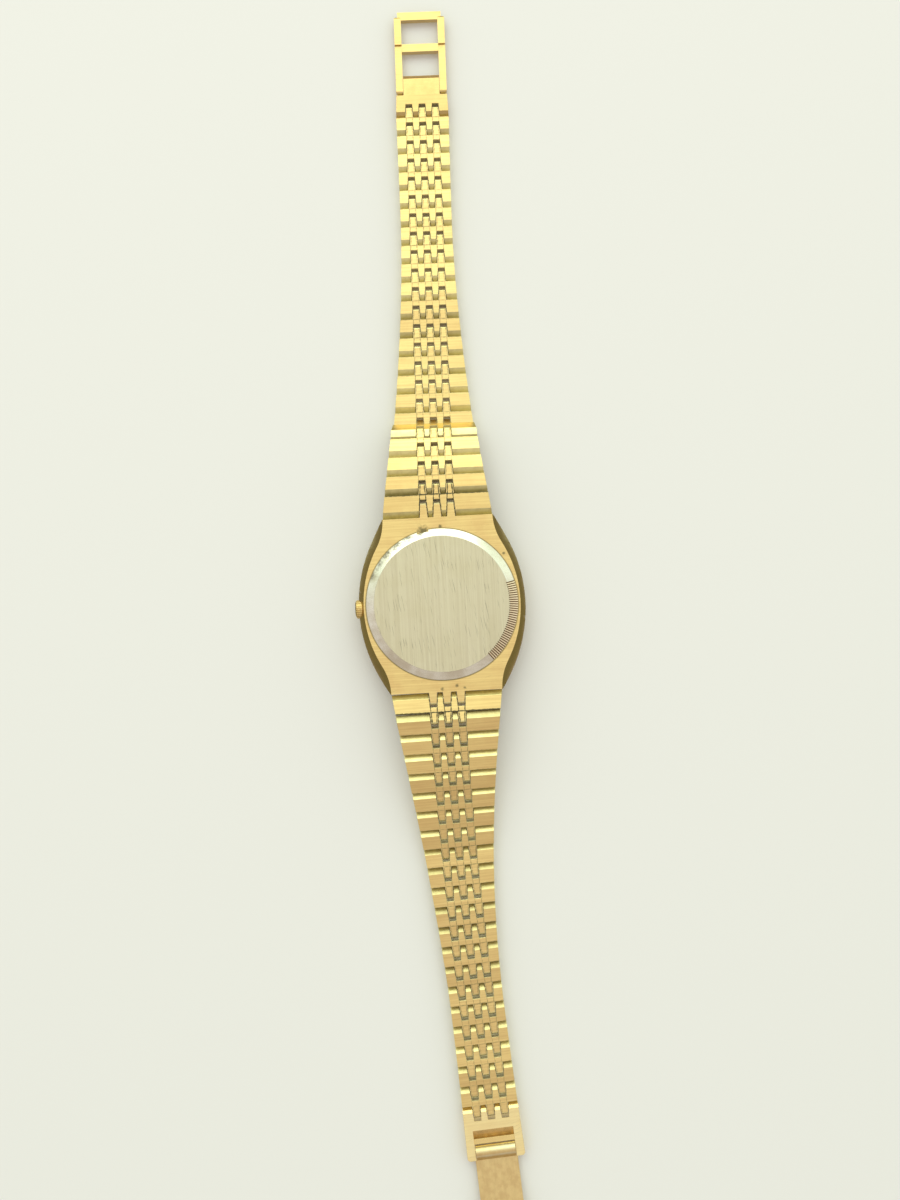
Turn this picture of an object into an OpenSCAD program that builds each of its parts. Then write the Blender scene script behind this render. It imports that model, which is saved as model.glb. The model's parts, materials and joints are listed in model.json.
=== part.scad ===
// Quartz bracelet watch in gold tone metal with a steel back cover that snaps in.
// It lies on its crystal with the back cover up and the bracelet laid out.
// The origin is the centre of the crystal's outer face. +Z points out of the
// back cover, +Y to twelve o'clock and -X to the crown.

/* [Case] */
// Width of the case across its flanks
case_w = 24.3; // [24:0.1:26.4]
// Length of the case from one strap end to the other
case_l = 25.4; // [25:0.1:28]
// Width of the case and of the strap where they meet
case_end_w = 16.0; // [14.5:0.1:17.3]
// Width of the polished bevel between back face and flank
bevel_w = 0.8; // [0.5:0.05:1]
// Bow of the back face's long sides, their radius as a share of the case's length
face_bow = 0.69; // [0.66:0.01:0.71]
// Height of the polished bevel between back face and flank
bevel_h = 1.5; // [1:0.1:2]
// How far the flanks stand out of the back face at the case's four corners
corner_step = 0.08; // [0.04:0.01:0.12]
// Height of the case's front at its middle above the crystal's outer face
front_z = 1.25; // [1:0.05:1.6]
// Outer diameter of the round bezel
bezel_d = 22.0; // [21.8:0.1:22.6]
// Height of the bezel's front edge above the crystal's outer face
bezel_z = 0.25; // [0.1:0.05:0.4]
// Width of the sloping ring at the bezel's front
bezel_slope_w = 1.0; // [0.5:0.1:1.1]
// Height of that ring
bezel_slope_h = 0.7; // [0.4:0.05:0.8]

/* [Crystal and dial] */
// Diameter of the crystal
crystal_d = 18.8; // [18:0.1:19]
// Thickness of the crystal
crystal_t = 1.1; // [0.9:0.05:1.3]
// Width of the shoulder that carries the crystal
shoulder_w = 0.6; // [0.4:0.1:0.9]
// Room between crystal and dial for the hands
hand_room = 1.25; // [1.2:0.05:1.6]
// Thickness of the dial
dial_t = 0.4; // [0.3:0.05:0.5]
// Length of the applied indices
index_l = 1.5; // [1:0.1:2]
// Width of the applied indices
index_w = 0.42; // [0.3:0.02:0.6]
// Height of the applied indices above the dial
index_h = 0.14; // [0.1:0.01:0.2]

/* [Hands] */
// Length of the hour hand
hour_l = 4.6; // [4:0.1:5]
// Length of the minute hand
minute_l = 7.0; // [6:0.1:7.5]
// Length of the second hand
second_l = 7.5; // [6:0.1:7.8]
// Width of the hour hand at its root
hour_w = 0.8; // [0.5:0.05:0.9]
// Width of the minute hand at its root
minute_w = 0.65; // [0.4:0.05:0.8]
// Width of the second hand at its root
second_w = 0.2; // [0.12:0.02:0.3]
// Thickness of a hand
hand_t = 0.12; // [0.1:0.01:0.14]
// Gap between one hand and the next
hand_gap = 0.18; // [0.15:0.01:0.22]
// Hour shown by the hands
show_hour = 10; // [0:1:11]
// Minute shown by the hands
show_minute = 9; // [0:1:59]
// Second shown by the hands
show_second = 36; // [0:1:59]

/* [Movement] */
// Radius of the space for the movement
cavity_r = 9.9; // [9.8:0.05:10]
// Height of the space from the dial's back to the case's back face
movement_room = 2.65; // [2.6:0.05:3]
// Thickness of the movement's main plate
plate_t = 1.5; // [1.45:0.05:1.6]
// Diameter of the battery
battery_d = 6.8; // [5.8:0.1:6.8]
// Thickness of the battery
battery_t = 2.1; // [1.6:0.05:2.15]
// Thickness of the circuit board
board_t = 0.2; // [0.15:0.01:0.3]
// Diameter of the quartz can
can_d = 0.9; // [0.7:0.05:0.9]
// Length of the quartz can
can_l = 4.6; // [4:0.1:5]
// Diameter of the coil
coil_d = 0.86; // [0.7:0.02:0.9]
// Length of the coil
coil_l = 6.4; // [5:0.1:6.8]

/* [Crown and stem] */
// Diameter of the crown
crown_d = 2.7; // [2.4:0.05:2.8]
// How far the crown stands out of the flank
crown_out = 0.5; // [0.4:0.05:1]
// Depth of the crown's pocket, as a share of the case's wall there
crown_pocket = 0.44; // [0.36:0.01:0.48]
// Number of flutes around the crown
flute_n = 24; // [16:1:28]
// Diameter of the winding stem
stem_d = 0.9; // [0.7:0.05:1]
// Length of the stem inside the movement's main plate
stem_in = 5.2; // [4.5:0.1:5.4]

/* [Back cover] */
// Diameter of the back cover
cover_d = 22.0; // [21.6:0.1:22.4]
// Height of the back cover above the case's back face
cover_t = 0.6; // [0.5:0.05:0.8]
// Diameter of the cover's flat disc inside its sloping ring
cover_flat_d = 19.7; // [19.2:0.1:20]
// Height of the cover's upright edge
cover_edge = 0.1; // [0.06:0.01:0.15]
// Radius of the case's opening that the cover snaps into
opening_r = 10.35; // [10.25:0.05:10.4]
// Depth of that opening below the case's back face
opening_depth = 1.1; // [1:0.05:1.15]
// Wall of the cover's snap rim
rim_wall = 0.45; // [0.35:0.05:0.5]
// How far the snap bead stands out of the rim
bead_out = 0.12; // [0.08:0.01:0.15]
// Number of grooves in the knurled arc of the ring
knurl_n = 37; // [24:1:40]
// Angle from one groove to the next
knurl_step = 1.8; // [1.6:0.1:2.2]
// Angle of the first groove, counted from +X
knurl_from = -50; // [-60:1:-30]
// Width of one groove
knurl_w = 0.15; // [0.1:0.01:0.22]
// Depth of one groove
knurl_depth = 0.1; // [0.05:0.01:0.15]
// Width of the notch for a case knife
notch_w = 1.7; // [1.2:0.1:2]
// Depth of that notch into the ring
notch_in = 0.4; // [0.25:0.05:0.6]
// Height of that notch above the case's back face
notch_h = 0.24; // [0.16:0.02:0.3]
// Angle of that notch, counted from +X
notch_at = 102; // [80:1:130]

/* [Gaskets] */
// Width of the crystal gasket
crystal_seal_w = 0.3; // [0.25:0.01:0.35]
// Height of the back gasket
back_seal_h = 0.2; // [0.15:0.01:0.25]
// Width of the back gasket
back_seal_w = 0.35; // [0.3:0.01:0.4]
// Width of the crown gasket
crown_seal_w = 0.33; // [0.25:0.01:0.36]
// Length of the crown gasket along the stem
crown_seal_l = 0.4; // [0.3:0.05:0.5]

/* [Bracelet links] */
// Distance from one hinge to the next
pitch = 2.84; // [2.78:0.02:3.1]
// How much longer the first link above the case is
upper_first_extra = 0.5; // [0:0.05:0.6]
// How much longer the first link below the case is
lower_first_extra = 0.1; // [0:0.05:0.6]
// Thickness of a link
link_t = 1.7; // [1.6:0.02:1.76]
// Number of links above the case
upper_n = 22; // [20:1:22]
// Number of links below the case
lower_n = 21; // [20:1:21]
// Width of the strap at its narrowest
narrow_w = 7.7; // [7.6:0.1:8.2]
// Width of the strap at its two outer ends
strap_end_w = 8.0; // [7.9:0.1:8.6]
// Number of links over which the strap tapers
taper_n = 16; // [12:1:18]
// Power of the taper, 1 is straight and 2 is a parabola
taper_power = 1.7; // [1:0.1:2]
// Length of the solid band across a link
band_l = 0.72; // [0.6:0.02:0.8]
// Distance from one tongue to the next
tongue_step = 2.0; // [1.95:0.05:2.1]
// Width of a tongue at its hinge
tongue_w = 1.0; // [0.9:0.02:1.04]
// How much each side of a tongue draws in per millimetre towards its tip
tongue_taper = 0.08; // [0:0.01:0.09]
// Length of a tongue's tip beyond its hinge
tip_l = 0.72; // [0.66:0.02:0.8]
// Radius of the tip's upper edge
tip_r = 0.3; // [0.25:0.05:0.4]
// Angle on the knuckle where the bevel at a link's inner edge ends
bevel_foot = 10; // [5:1:30]
// Diameter of a hinge pin
pin_d = 0.7; // [0.6:0.02:0.76]
// Depth of a pin's ends below the link's sides
pin_recess = 0.25; // [0.15:0.05:0.4]

/* [How the bracelet lies] */
// Share of the strap's drop that each upper link next to the case takes
upper_drop = [0.04, 0.07, 0.11, 0.16, 0.62];
// Share of the strap's drop that each lower link next to the case takes
lower_drop = [-0.08, 0.12, 0.16, 0.18, 0.18, 0.16, 0.14, 0.14];
// Sideways turn of each of the first upper links
upper_yaw_step = -0.25; // [-0.3:0.05:0.3]
// Number of upper links that turn sideways
upper_yaw_n = 4; // [0:1:14]
// Sideways turn of each of the first lower links
lower_yaw_step = 0.3; // [-0.3:0.05:0.3]
// Number of lower links that turn sideways
lower_yaw_n = 14; // [0:1:14]

/* [Ladder] */
// Length of the ladder's end link from its hinge to its shoulder
end_link_l = 2.6; // [2.4:0.05:2.8]
// Length of the neck beyond the shoulder
neck_l = 3.3; // [2.8:0.1:3.5]
// Outer width of the ladder
ladder_w = 7.7; // [7.5:0.1:8]
// Width of the ladder's two arms
arm_w = 1.05; // [0.9:0.05:1.2]
// Length of the ladder from its pivot to its top
ladder_l = 12.7; // [12.2:0.1:13.5]
// Thickness of the ladder
ladder_t = 1.1; // [1:0.05:1.1]
// Width of the ladder's middle rung
rung_w = 1.2; // [1:0.05:1.3]
// Width of the ladder's top bar
top_bar_w = 1.45; // [1.1:0.05:1.7]
// Width of one cell between rungs
cell_l = 3.8; // [3.5:0.1:4]
// Width of the bevel at the arms' four corners
arm_bevel = 0.3; // [0.1:0.05:0.4]
// Width of the grooves across the arms beside the rung
groove_w = 0.65; // [0.3:0.05:0.7]
// Depth of those grooves
groove_depth = 0.3; // [0.1:0.02:0.36]
// How far rung and top bar lie below the arms' faces
bar_drop = 0.2; // [0.1:0.02:0.28]
// Distance from those grooves to the rung's upper edge
groove_in = 0.12; // [0.05:0.01:0.2]

/* [Clasp] */
// Width of the clasp frame
frame_w = 8.3; // [8.2:0.1:8.6]
// Length of the clasp frame from its hinge to its open end
frame_l = 6.7; // [6.6:0.1:7]
// Length from the frame's hinge to its window
window_from = 2.55; // [2.4:0.05:2.6]
// Width of the frame's window
window_w = 5.8; // [5.7:0.1:5.9]
// Thickness of the cover plate that closes the window's front
cover_plate_t = 0.35; // [0.3:0.05:0.5]
// Length of the cover plate along the window, ridge included
cover_plate_l = 2; // [1.8:0.05:2.05]
// Length of the snap ridge on the cover plate
ridge_l = 0.75; // [0.6:0.05:0.9]
// Radius of the arms' outer corners
arm_round = 0.5; // [0.3:0.05:0.6]
// Distance from the frame's hinge to the leaf's axis
leaf_axis_y = 5.65; // [5.6:0.05:5.7]
// Height of the leaf's axis above the frame's middle
leaf_axis_z = 0.35; // [0.32:0.01:0.4]
// Diameter of the leaf's rolled barrel
barrel_d = 1.9; // [1.7:0.05:1.95]
// Thickness of the leaf
leaf_t = 0.6; // [0.5:0.02:0.62]
// Width of the leaf beyond the frame
leaf_w = 6.1; // [5.6:0.1:6.4]
// Length of the leaf from its axis to its hook's end
leaf_l = 15; // [13:0.5:17]
// Thickness of the hook
hook_t = 0.45; // [0.35:0.05:0.5]
// Length of the hook's returning tip
hook_l = 2.2; // [1.8:0.1:2.6]
// Width of the hook
hook_w = 4.2; // [3:0.1:5]

/* [Clearances] */
// Gap between pieces that sit on each other
seat_gap = 0.02; // [0.015:0.005:0.03]
// Running gap around a pin or a pipe
run_gap = 0.05; // [0.04:0.005:0.06]
// Gap at each side of a tongue in its slot
side_gap = 0.1; // [0.08:0.01:0.12]
// Gap at the seam between two links
seam_gap = 0.07; // [0.06:0.01:0.09]
// Gap between the ladder's arms and the shoulders of its end link
pivot_gap = 0.28; // [0.14:0.02:0.3]
// Gap between the circuit board and what turns or sits beside it
board_gap = 0.2; // [0.15:0.05:0.3]
// Gap between two wheels of the hands
wheel_gap = 0.1; // [0.08:0.01:0.12]

/* [Hidden] */
$fn = 64;
GOLD = [0.86, 0.70, 0.40];
STEEL = [0.80, 0.79, 0.72];
BRASS = [0.78, 0.66, 0.38];
RUBBER = [0.12, 0.12, 0.12];

// Heights of the stack, from the crystal's outer face upwards
dial_z = crystal_t + hand_room;
dial_back_z = dial_z + dial_t;
back_z = dial_back_z + movement_room;
top_z = back_z + cover_t;
ledge_z = back_z - opening_depth;
main_z = dial_back_z + seat_gap;
stem_z = main_z + 0.45 * plate_t;

// Case outline: two wide arcs at the flanks, and on the back face a convex arc
// in the middle that runs into a concave one at each corner
function arc_r(half_chord, rise) = (half_chord * half_chord + rise * rise) / (2 * rise);
flank_r = arc_r(case_l / 2, (case_w - case_end_w) / 2 - corner_step);
face_r = face_bow * case_l;
face_arc_x = face_r - case_w / 2 + bevel_w;
corner_reach = case_end_w / 2 + face_arc_x;
corner_r = (pow(corner_reach, 2) + pow(case_l / 2, 2) - pow(face_r, 2))
    / (2 * (face_r - corner_reach));
corner_x = case_end_w / 2 + corner_r;
corner_from = case_l / 2 * face_r / (face_r + corner_r);
bevel_slope = bevel_w / bevel_h;

// Links
link_z = back_z - link_t / 2;
knuckle_r = link_t / 2;
seam = knuckle_r + seam_gap;
pin_r = pin_d / 2;
drop = link_z - link_t / 2;
front_end_z = link_z - link_t / 2 - seam_gap;
crown_arc_r = arc_r(case_l / 2, front_end_z - front_z);

// Crystal seat
crystal_r = crystal_d / 2;
crystal_seat_r = crystal_r + crystal_seal_w + 2 * seat_gap;
rehaut_r = crystal_r - shoulder_w;

// Hands
hour_z = dial_z - index_h - hand_gap / 2 - hand_t;
minute_z = hour_z - hand_gap - hand_t;
second_z = minute_z - hand_gap - hand_t;
arbor_r = 0.25;
cannon_r = 0.6;
hour_pipe_r = 0.95;
hand_hub_r = hour_pipe_r + 0.25;
wheel_t = 0.14;
recess_r = 2.4;
recess_depth = 0.66;
hour_wheel_z = dial_back_z + wheel_t;
minute_wheel_z = hour_wheel_z + wheel_t + wheel_gap;
second_wheel_z = main_z + plate_t + 2 * seat_gap;
second_wheel_r = 1.9;
hour_wheel_r = recess_r - 3 * wheel_gap;
minute_wheel_r = recess_r - 8 * wheel_gap;

// Battery and board
battery_r = battery_d / 2;
battery_at = [4.5, -4.12];
battery_pocket_r = battery_r + run_gap;
battery_z = main_z + 0.3;
board_z = main_z + plate_t + seat_gap;
board_r = cavity_r - 0.5;
chip_at = [0.28 * board_r, 0.45 * board_r];
chip_size = [2.2, 2.2, 0.5];
can_at = [-0.38 * board_r, 0.66 * board_r];
coil_at = [-0.38 * board_r, 0.36 * board_r];

// Crown
crown_r = crown_d / 2;
pocket_x = case_w / 2 - crown_pocket * (case_w / 2 - cavity_r);
crown_from = pocket_x + run_gap;
crown_to = case_w / 2 + crown_out;
stem_r = stem_d / 2;
stem_to = crown_from + 0.55 * (crown_to - crown_from);
flute_r = 0.1;

// Back cover
cover_r = cover_d / 2;
cover_flat_r = cover_flat_d / 2;
rim_r = opening_r - seat_gap;
rim_z = ledge_z + back_seal_h + 2 * seat_gap;
flange_z = back_z + seat_gap;
ring_angle = atan2(top_z - flange_z - cover_edge, cover_r - cover_flat_r);
bead_z = (rim_z + back_z) / 2;
bead_half = 0.14;
groove_half = bead_half + seat_gap;

// Ladder and clasp
pivot_y = end_link_l + ladder_t / 2 + pivot_gap;
neck_w = ladder_w - 2 * arm_w - 2 * run_gap;
barrel_r = barrel_d / 2;
leaf_top = -knuckle_r + 2 * seam_gap / 3 + leaf_t;
hook_gap = ladder_t + run_gap;
hook_bottom = leaf_axis_z - leaf_top + leaf_t + hook_gap + hook_t;
leaf_tilt = asin((hook_bottom - leaf_axis_z - knuckle_r + run_gap) / (leaf_l - hook_l));
leaf_room = frame_l - leaf_axis_y + 3 * run_gap;

// Half the width of a tongue at a distance beyond its hinge
function tongue_half(y) = tongue_w / 2 - tongue_taper * y;

// How a strap lies: side 1 is the upper one and side -1 the lower one
function count(side) = side > 0 ? upper_n : lower_n;
function shares(side) = side > 0 ? upper_drop : lower_drop;
function yaw_step(side) = side > 0 ? upper_yaw_step : lower_yaw_step;
function yaw_n(side) = side > 0 ? upper_yaw_n : lower_yaw_n;
function first_extra(side) = side > 0 ? upper_first_extra : lower_first_extra;
function link_l(side, i) = pitch + (i == 1 ? first_extra(side) : 0);
function slope(side, i) =
    i <= len(shares(side)) ? asin(shares(side)[i - 1] * drop / link_l(side, i)) : 0;
function yaw(side, i) = yaw_step(side) * min(i, yaw_n(side)) + (side > 0 ? 0 : 180);
function along(side, i) =
    concat(cos(slope(side, i)) * [-sin(yaw(side, i)), cos(yaw(side, i))], -sin(slope(side, i)));
function hinge(side, i) =
    i == 1 ? [0, side * (case_l / 2 + seam), link_z]
        : hinge(side, i - 1) + link_l(side, i - 1) * along(side, i - 1);

// Half the strap's width at seam k, counted from the case
function half_w(side, k) =
    (narrow_w + (case_end_w - narrow_w) * pow(max(0, 1 - k / taper_n), taper_power)
    + (strap_end_w - narrow_w) * pow(k / count(side), 8)) / 2;

// Node names
function two(i) = str(i < 10 ? "0" : "", i);
function link_name(side, i) = str(side > 0 ? "upper_link_" : "lower_link_", two(i));

// A disc between two heights
module disc(r, z_low, z_high) {
    translate([0, 0, z_low]) cylinder(r = r, h = z_high - z_low);
}

// A flat ring between two heights
module ring(r_out, r_in, z_low, z_high) {
    difference() {
        disc(r_out, z_low, z_high);
        disc(r_in, z_low - 1, z_high + 1);
    }
}

// A round bar along X, centred
module bar_x(r, l) {
    rotate([0, 90, 0]) cylinder(r = r, h = l, center = true);
}

// A side view in Y and Z, made w wide along X
module side_view(w) {
    rotate([90, 0, 90]) linear_extrude(w, center = true) children();
}

// A cone of radius r at the back face that grows by the bevel below it and goes
// on straight above it
module bevel_cone(r, grow) {
    rotate_extrude($fn = 160)
        polygon([[0, 0], [r + grow * bevel_slope * back_z, 0], [r, back_z], [r, back_z + 1], [0, back_z + 1]]);
}

// The case's flanks and the bevel around its back face
module case_outline() {
    intersection() {
        translate([case_w / 2 - flank_r, 0, 0]) cylinder(r = flank_r, h = back_z, $fn = 160);
        translate([flank_r - case_w / 2, 0, 0]) cylinder(r = flank_r, h = back_z, $fn = 160);
        side_view(case_w + 2) case_side();
        union() {
            intersection() {
                translate([-face_arc_x, 0, 0]) bevel_cone(face_r, 1);
                translate([face_arc_x, 0, 0]) bevel_cone(face_r, 1);
            }
            difference() {
                for (s = [-1, 1])
                    translate([-case_w / 2, s > 0 ? corner_from : -case_l / 2, 0])
                        cube([case_w, case_l / 2 - corner_from, back_z + 1]);
                for (x = [-corner_x, corner_x], y = [-case_l / 2, case_l / 2])
                    translate([x, y, 0]) bevel_cone(corner_r, -1);
            }
        }
    }
}

// Side view of the case: flat back face, arched front
module case_side() {
    intersection() {
        translate([-case_l / 2, 0]) square([case_l, back_z]);
        translate([0, front_z + crown_arc_r]) circle(crown_arc_r, $fn = 160);
    }
}

// Plan of a tongue between two distances from its hinge, wider by gap at each
// side, as a tall block
module tongue_block(y_from, y_to, gap) {
    w_from = tongue_half(y_from) + gap;
    w_to = tongue_half(y_to) + gap;
    translate([0, 0, -link_t])
        linear_extrude(2 * link_t)
            polygon([[-w_from, y_from], [w_from, y_from], [w_to, y_to], [-w_to, y_to]]);
}

// Side view of a tongue from its root to its tip, round towards the front and
// nearly square towards the back face
module tongue_side(root, tip) {
    union() {
        translate([root, -knuckle_r]) square([-root, link_t]);
        intersection() {
            circle(knuckle_r);
            translate([-tip, -link_t]) square([2 * tip, 2 * link_t]);
        }
        square([tip, knuckle_r - tip_r]);
        square([tip - tip_r, knuckle_r]);
        translate([tip - tip_r, knuckle_r - tip_r]) circle(tip_r);
    }
}

// Three tongues that reach from y_root to a hinge and a tip beyond it
module tongues(y_root, y_hinge, tip) {
    root = y_root - y_hinge;
    for (k = [-1:1])
        translate([k * tongue_step, y_hinge, 0])
            intersection() {
                side_view(2 * tongue_step) tongue_side(root, tip);
                tongue_block(root, 2 * tip, 0);
            }
}

// Bores through the tongues at a hinge
module tongue_bores(y_hinge) {
    translate([0, y_hinge, 0]) bar_x(pin_r + run_gap, 2 * (tongue_step + tongue_w));
}

// Case with bezel, strap tongues, crown pocket and the seats inside
module case_body() {
    color(GOLD) difference() {
        union() {
            case_outline();
            rotate_extrude($fn = 160)
                polygon([[0, bezel_z], [bezel_d / 2 - bezel_slope_w, bezel_z],
                    [bezel_d / 2, bezel_z + bezel_slope_h], [bezel_d / 2, front_end_z], [0, front_end_z]]);
            for (side = [-1, 1])
                rotate(side > 0 ? 0 : 180)
                    translate([0, 0, link_z])
                        tongues(case_l / 2 - band_l, case_l / 2 + seam, tip_l + first_extra(side));
        }
        disc(crystal_seat_r, -1, crystal_t + seat_gap);
        disc(rehaut_r, 0, dial_z + 1);
        disc(cavity_r, dial_z, back_z + 1);
        disc(opening_r, ledge_z, back_z + 1);
        disc(opening_r + bead_out + seat_gap, bead_z - groove_half, bead_z + groove_half);
        for (s = [0, 180]) rotate(s) translate([0, 0, link_z]) tongue_bores(case_l / 2 + seam);
        translate([0, 0, stem_z]) {
            rotate([0, -90, 0]) cylinder(r = stem_r + run_gap, h = case_w);
            translate([-pocket_x, 0, 0]) rotate([0, -90, 0]) cylinder(r = crown_r + 2 * run_gap, h = case_w);
            translate([-pocket_x + crown_seal_l + 2 * seat_gap, 0, 0])
                rotate([0, -90, 0]) cylinder(r = stem_r + crown_seal_w + 2 * run_gap, h = case_w);
        }
    }
}

// Back cover: flat disc, sloping ring with a knurled arc, and a snap rim
module case_back() {
    inner_r = rim_r - rim_wall;
    inner_z = flange_z + cover_edge;
    ring_mid_r = (cover_r + cover_flat_r) / 2;
    ring_mid_z = (top_z + flange_z + cover_edge) / 2;
    color(STEEL) difference() {
        rotate_extrude($fn = 160)
            polygon([[0, inner_z], [inner_r, inner_z], [inner_r, rim_z], [rim_r, rim_z],
                [rim_r, bead_z - bead_half], [rim_r + bead_out, bead_z], [rim_r, bead_z + bead_half],
                [rim_r, flange_z],
                [cover_r, flange_z], [cover_r, flange_z + cover_edge], [cover_flat_r, top_z], [0, top_z]]);
        for (k = [0:knurl_n - 1])
            rotate(knurl_from + k * knurl_step)
                translate([ring_mid_r, 0, ring_mid_z])
                    rotate([0, ring_angle, 0])
                        cube([1.3 * (cover_r - cover_flat_r), knurl_w, 2 * knurl_depth], center = true);
        rotate(notch_at)
            translate([cover_r - notch_in, -notch_w / 2, back_z])
                cube([2 * notch_in, notch_w, notch_h]);
    }
}

// Gaskets of the crystal, the back cover and the crown
module seals() {
    color(RUBBER) {
        ring(crystal_r + seat_gap + crystal_seal_w, crystal_r + seat_gap, bezel_z + 0.1, crystal_t);
        ring(opening_r - seat_gap, opening_r - seat_gap - back_seal_w, ledge_z + seat_gap, rim_z - seat_gap);
        translate([-pocket_x + crown_seal_l + seat_gap, 0, stem_z])
            rotate([0, -90, 0])
                difference() {
                    cylinder(r = stem_r + run_gap + crown_seal_w, h = crown_seal_l);
                    translate([0, 0, -1]) cylinder(r = stem_r + run_gap, h = crown_seal_l + 2);
                }
    }
}

// Flat mineral crystal with a small chamfer
module crystal() {
    chamfer = 0.15;
    color([0.85, 0.9, 0.92, 0.5])
        rotate_extrude($fn = 160)
            polygon([[0, 0], [crystal_r - chamfer, 0], [crystal_r, chamfer], [crystal_r, crystal_t],
                [0, crystal_t]]);
}

// Dial with twelve applied indices
module dial() {
    index_to = rehaut_r - index_w;
    color([0.93, 0.86, 0.68]) difference() {
        union() {
            disc(cavity_r - run_gap, dial_z + seat_gap, dial_back_z);
            for (k = [0:11])
                rotate(30 * k)
                    translate([-index_w / 2, index_to - index_l, dial_z + seat_gap - index_h])
                        cube([index_w, index_l, 2 * index_h]);
        }
        disc(hour_pipe_r + 2 * run_gap, 0, back_z);
    }
}

// A slim tapering hand that points to +Y and carries its boss
module hand(l, w_root, w_tip, tail, boss_r, z) {
    translate([0, 0, z]) {
        linear_extrude(hand_t)
            polygon([[-w_root / 2, -tail], [w_root / 2, -tail], [w_root / 2, l / 5], [w_tip / 2, l],
                [-w_tip / 2, l], [-w_root / 2, l / 5]]);
        cylinder(r = boss_r, h = hand_t);
    }
}

// Hour hand on its pipe and wheel
module hour_hand() {
    color(GOLD) rotate(30 * (show_hour + show_minute / 60)) difference() {
        union() {
            hand(hour_l, hour_w, 0.4 * hour_w, 0, hand_hub_r, hour_z);
            disc(hour_pipe_r, hour_z, hour_wheel_z + wheel_t);
            disc(hour_wheel_r, hour_wheel_z, hour_wheel_z + wheel_t);
        }
        disc(cannon_r + run_gap, 0, back_z);
    }
}

// Minute hand on its pipe and wheel
module minute_hand() {
    color(GOLD) rotate(6 * (show_minute + show_second / 60)) difference() {
        union() {
            hand(minute_l, minute_w, 0.4 * minute_w, 0, cannon_r + 0.2, minute_z);
            disc(cannon_r, minute_z, minute_wheel_z + wheel_t);
            disc(minute_wheel_r, minute_wheel_z, minute_wheel_z + wheel_t);
        }
        disc(arbor_r + run_gap, 0, back_z);
    }
}

// Second hand on its arbor, with the wheel behind the main plate
module second_hand() {
    color(GOLD) rotate(6 * show_second) {
        hand(second_l, second_w, 0.6 * second_w, 0.3 * second_l, cannon_r, second_z);
        disc(arbor_r, second_z, second_wheel_z + wheel_t);
        disc(second_wheel_r, second_wheel_z, second_wheel_z + wheel_t);
    }
}

// Fluted crown, closed on the outside and bored for the stem
module crown() {
    color(GOLD) translate([0, 0, stem_z]) rotate([0, -90, 0]) difference() {
        rotate_extrude()
            polygon([[0, crown_from], [crown_r, crown_from], [crown_r, crown_to - 2 * flute_r],
                [crown_r - 3 * flute_r, crown_to], [0, crown_to]]);
        for (k = [0:flute_n - 1])
            rotate(k * 360 / flute_n)
                translate([crown_r, 0, crown_from + 2 * flute_r])
                    cylinder(r = flute_r, h = crown_to - crown_from, $fn = 16);
        translate([0, 0, crown_from - 1])
            cylinder(r = stem_r + seat_gap, h = stem_to - crown_from + 1 + seat_gap);
    }
}

// Winding stem from the crown into the movement
module stem() {
    stem_from = cavity_r - stem_in;
    color(STEEL) translate([0, 0, stem_z]) rotate([0, -90, 0])
        translate([0, 0, stem_from]) cylinder(r = stem_r, h = stem_to - stem_from);
}

// Main plate: recess for the wheels, battery pocket and stem bore
module movement_plate() {
    color(BRASS) difference() {
        disc(cavity_r - run_gap, main_z, main_z + plate_t);
        disc(recess_r, main_z - 1, main_z + recess_depth);
        disc(arbor_r + run_gap, 0, back_z);
        translate([battery_at.x, battery_at.y, 0]) disc(battery_pocket_r, battery_z - seat_gap, back_z);
        translate([0, 0, stem_z]) rotate([0, -90, 0])
            translate([0, 0, cavity_r - stem_in - 0.4]) cylinder(r = stem_r + run_gap, h = stem_in + 2);
    }
}

// Circuit board with chip, quartz can and coil, each a solid of its own
module circuit_block() {
    part_z = board_z + board_t + seat_gap;
    color([0.2, 0.42, 0.3]) difference() {
        disc(board_r, board_z, board_z + board_t);
        disc(second_wheel_r + board_gap, 0, back_z);
        translate([battery_at.x, battery_at.y, 0]) disc(battery_pocket_r + board_gap, 0, back_z);
        translate([-board_r, -2 * board_r, 0]) cube([2 * board_r, 1.6 * board_r, back_z]);
    }
    color([0.1, 0.1, 0.1]) translate([chip_at.x, chip_at.y, part_z]) cube(chip_size);
    color(STEEL) translate([can_at.x, can_at.y, part_z + can_d / 2]) bar_x(can_d / 2, can_l);
    color([0.7, 0.35, 0.2]) translate([coil_at.x, coil_at.y, part_z + coil_d / 2]) bar_x(coil_d / 2, coil_l);
}

// Button cell
module battery() {
    cap_step = 0.35;
    color(STEEL) translate([battery_at.x, battery_at.y, battery_z]) rotate_extrude() polygon([
        [0, 0], [battery_r - cap_step, 0], [battery_r, cap_step], [battery_r, battery_t], [0, battery_t]]);
}

// Side view of a link's inner end and body: round knuckle with a flat bevel on
// the side of the back face
module knuckle_side(y_out) {
    foot = knuckle_r * [-cos(bevel_foot), sin(bevel_foot)];
    union() {
        translate([0, -knuckle_r]) square([y_out, link_t]);
        difference() {
            circle(knuckle_r);
            polygon([[0, knuckle_r], foot, [-link_t, foot.y], [-link_t, link_t], [0, link_t]]);
        }
    }
}

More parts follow.
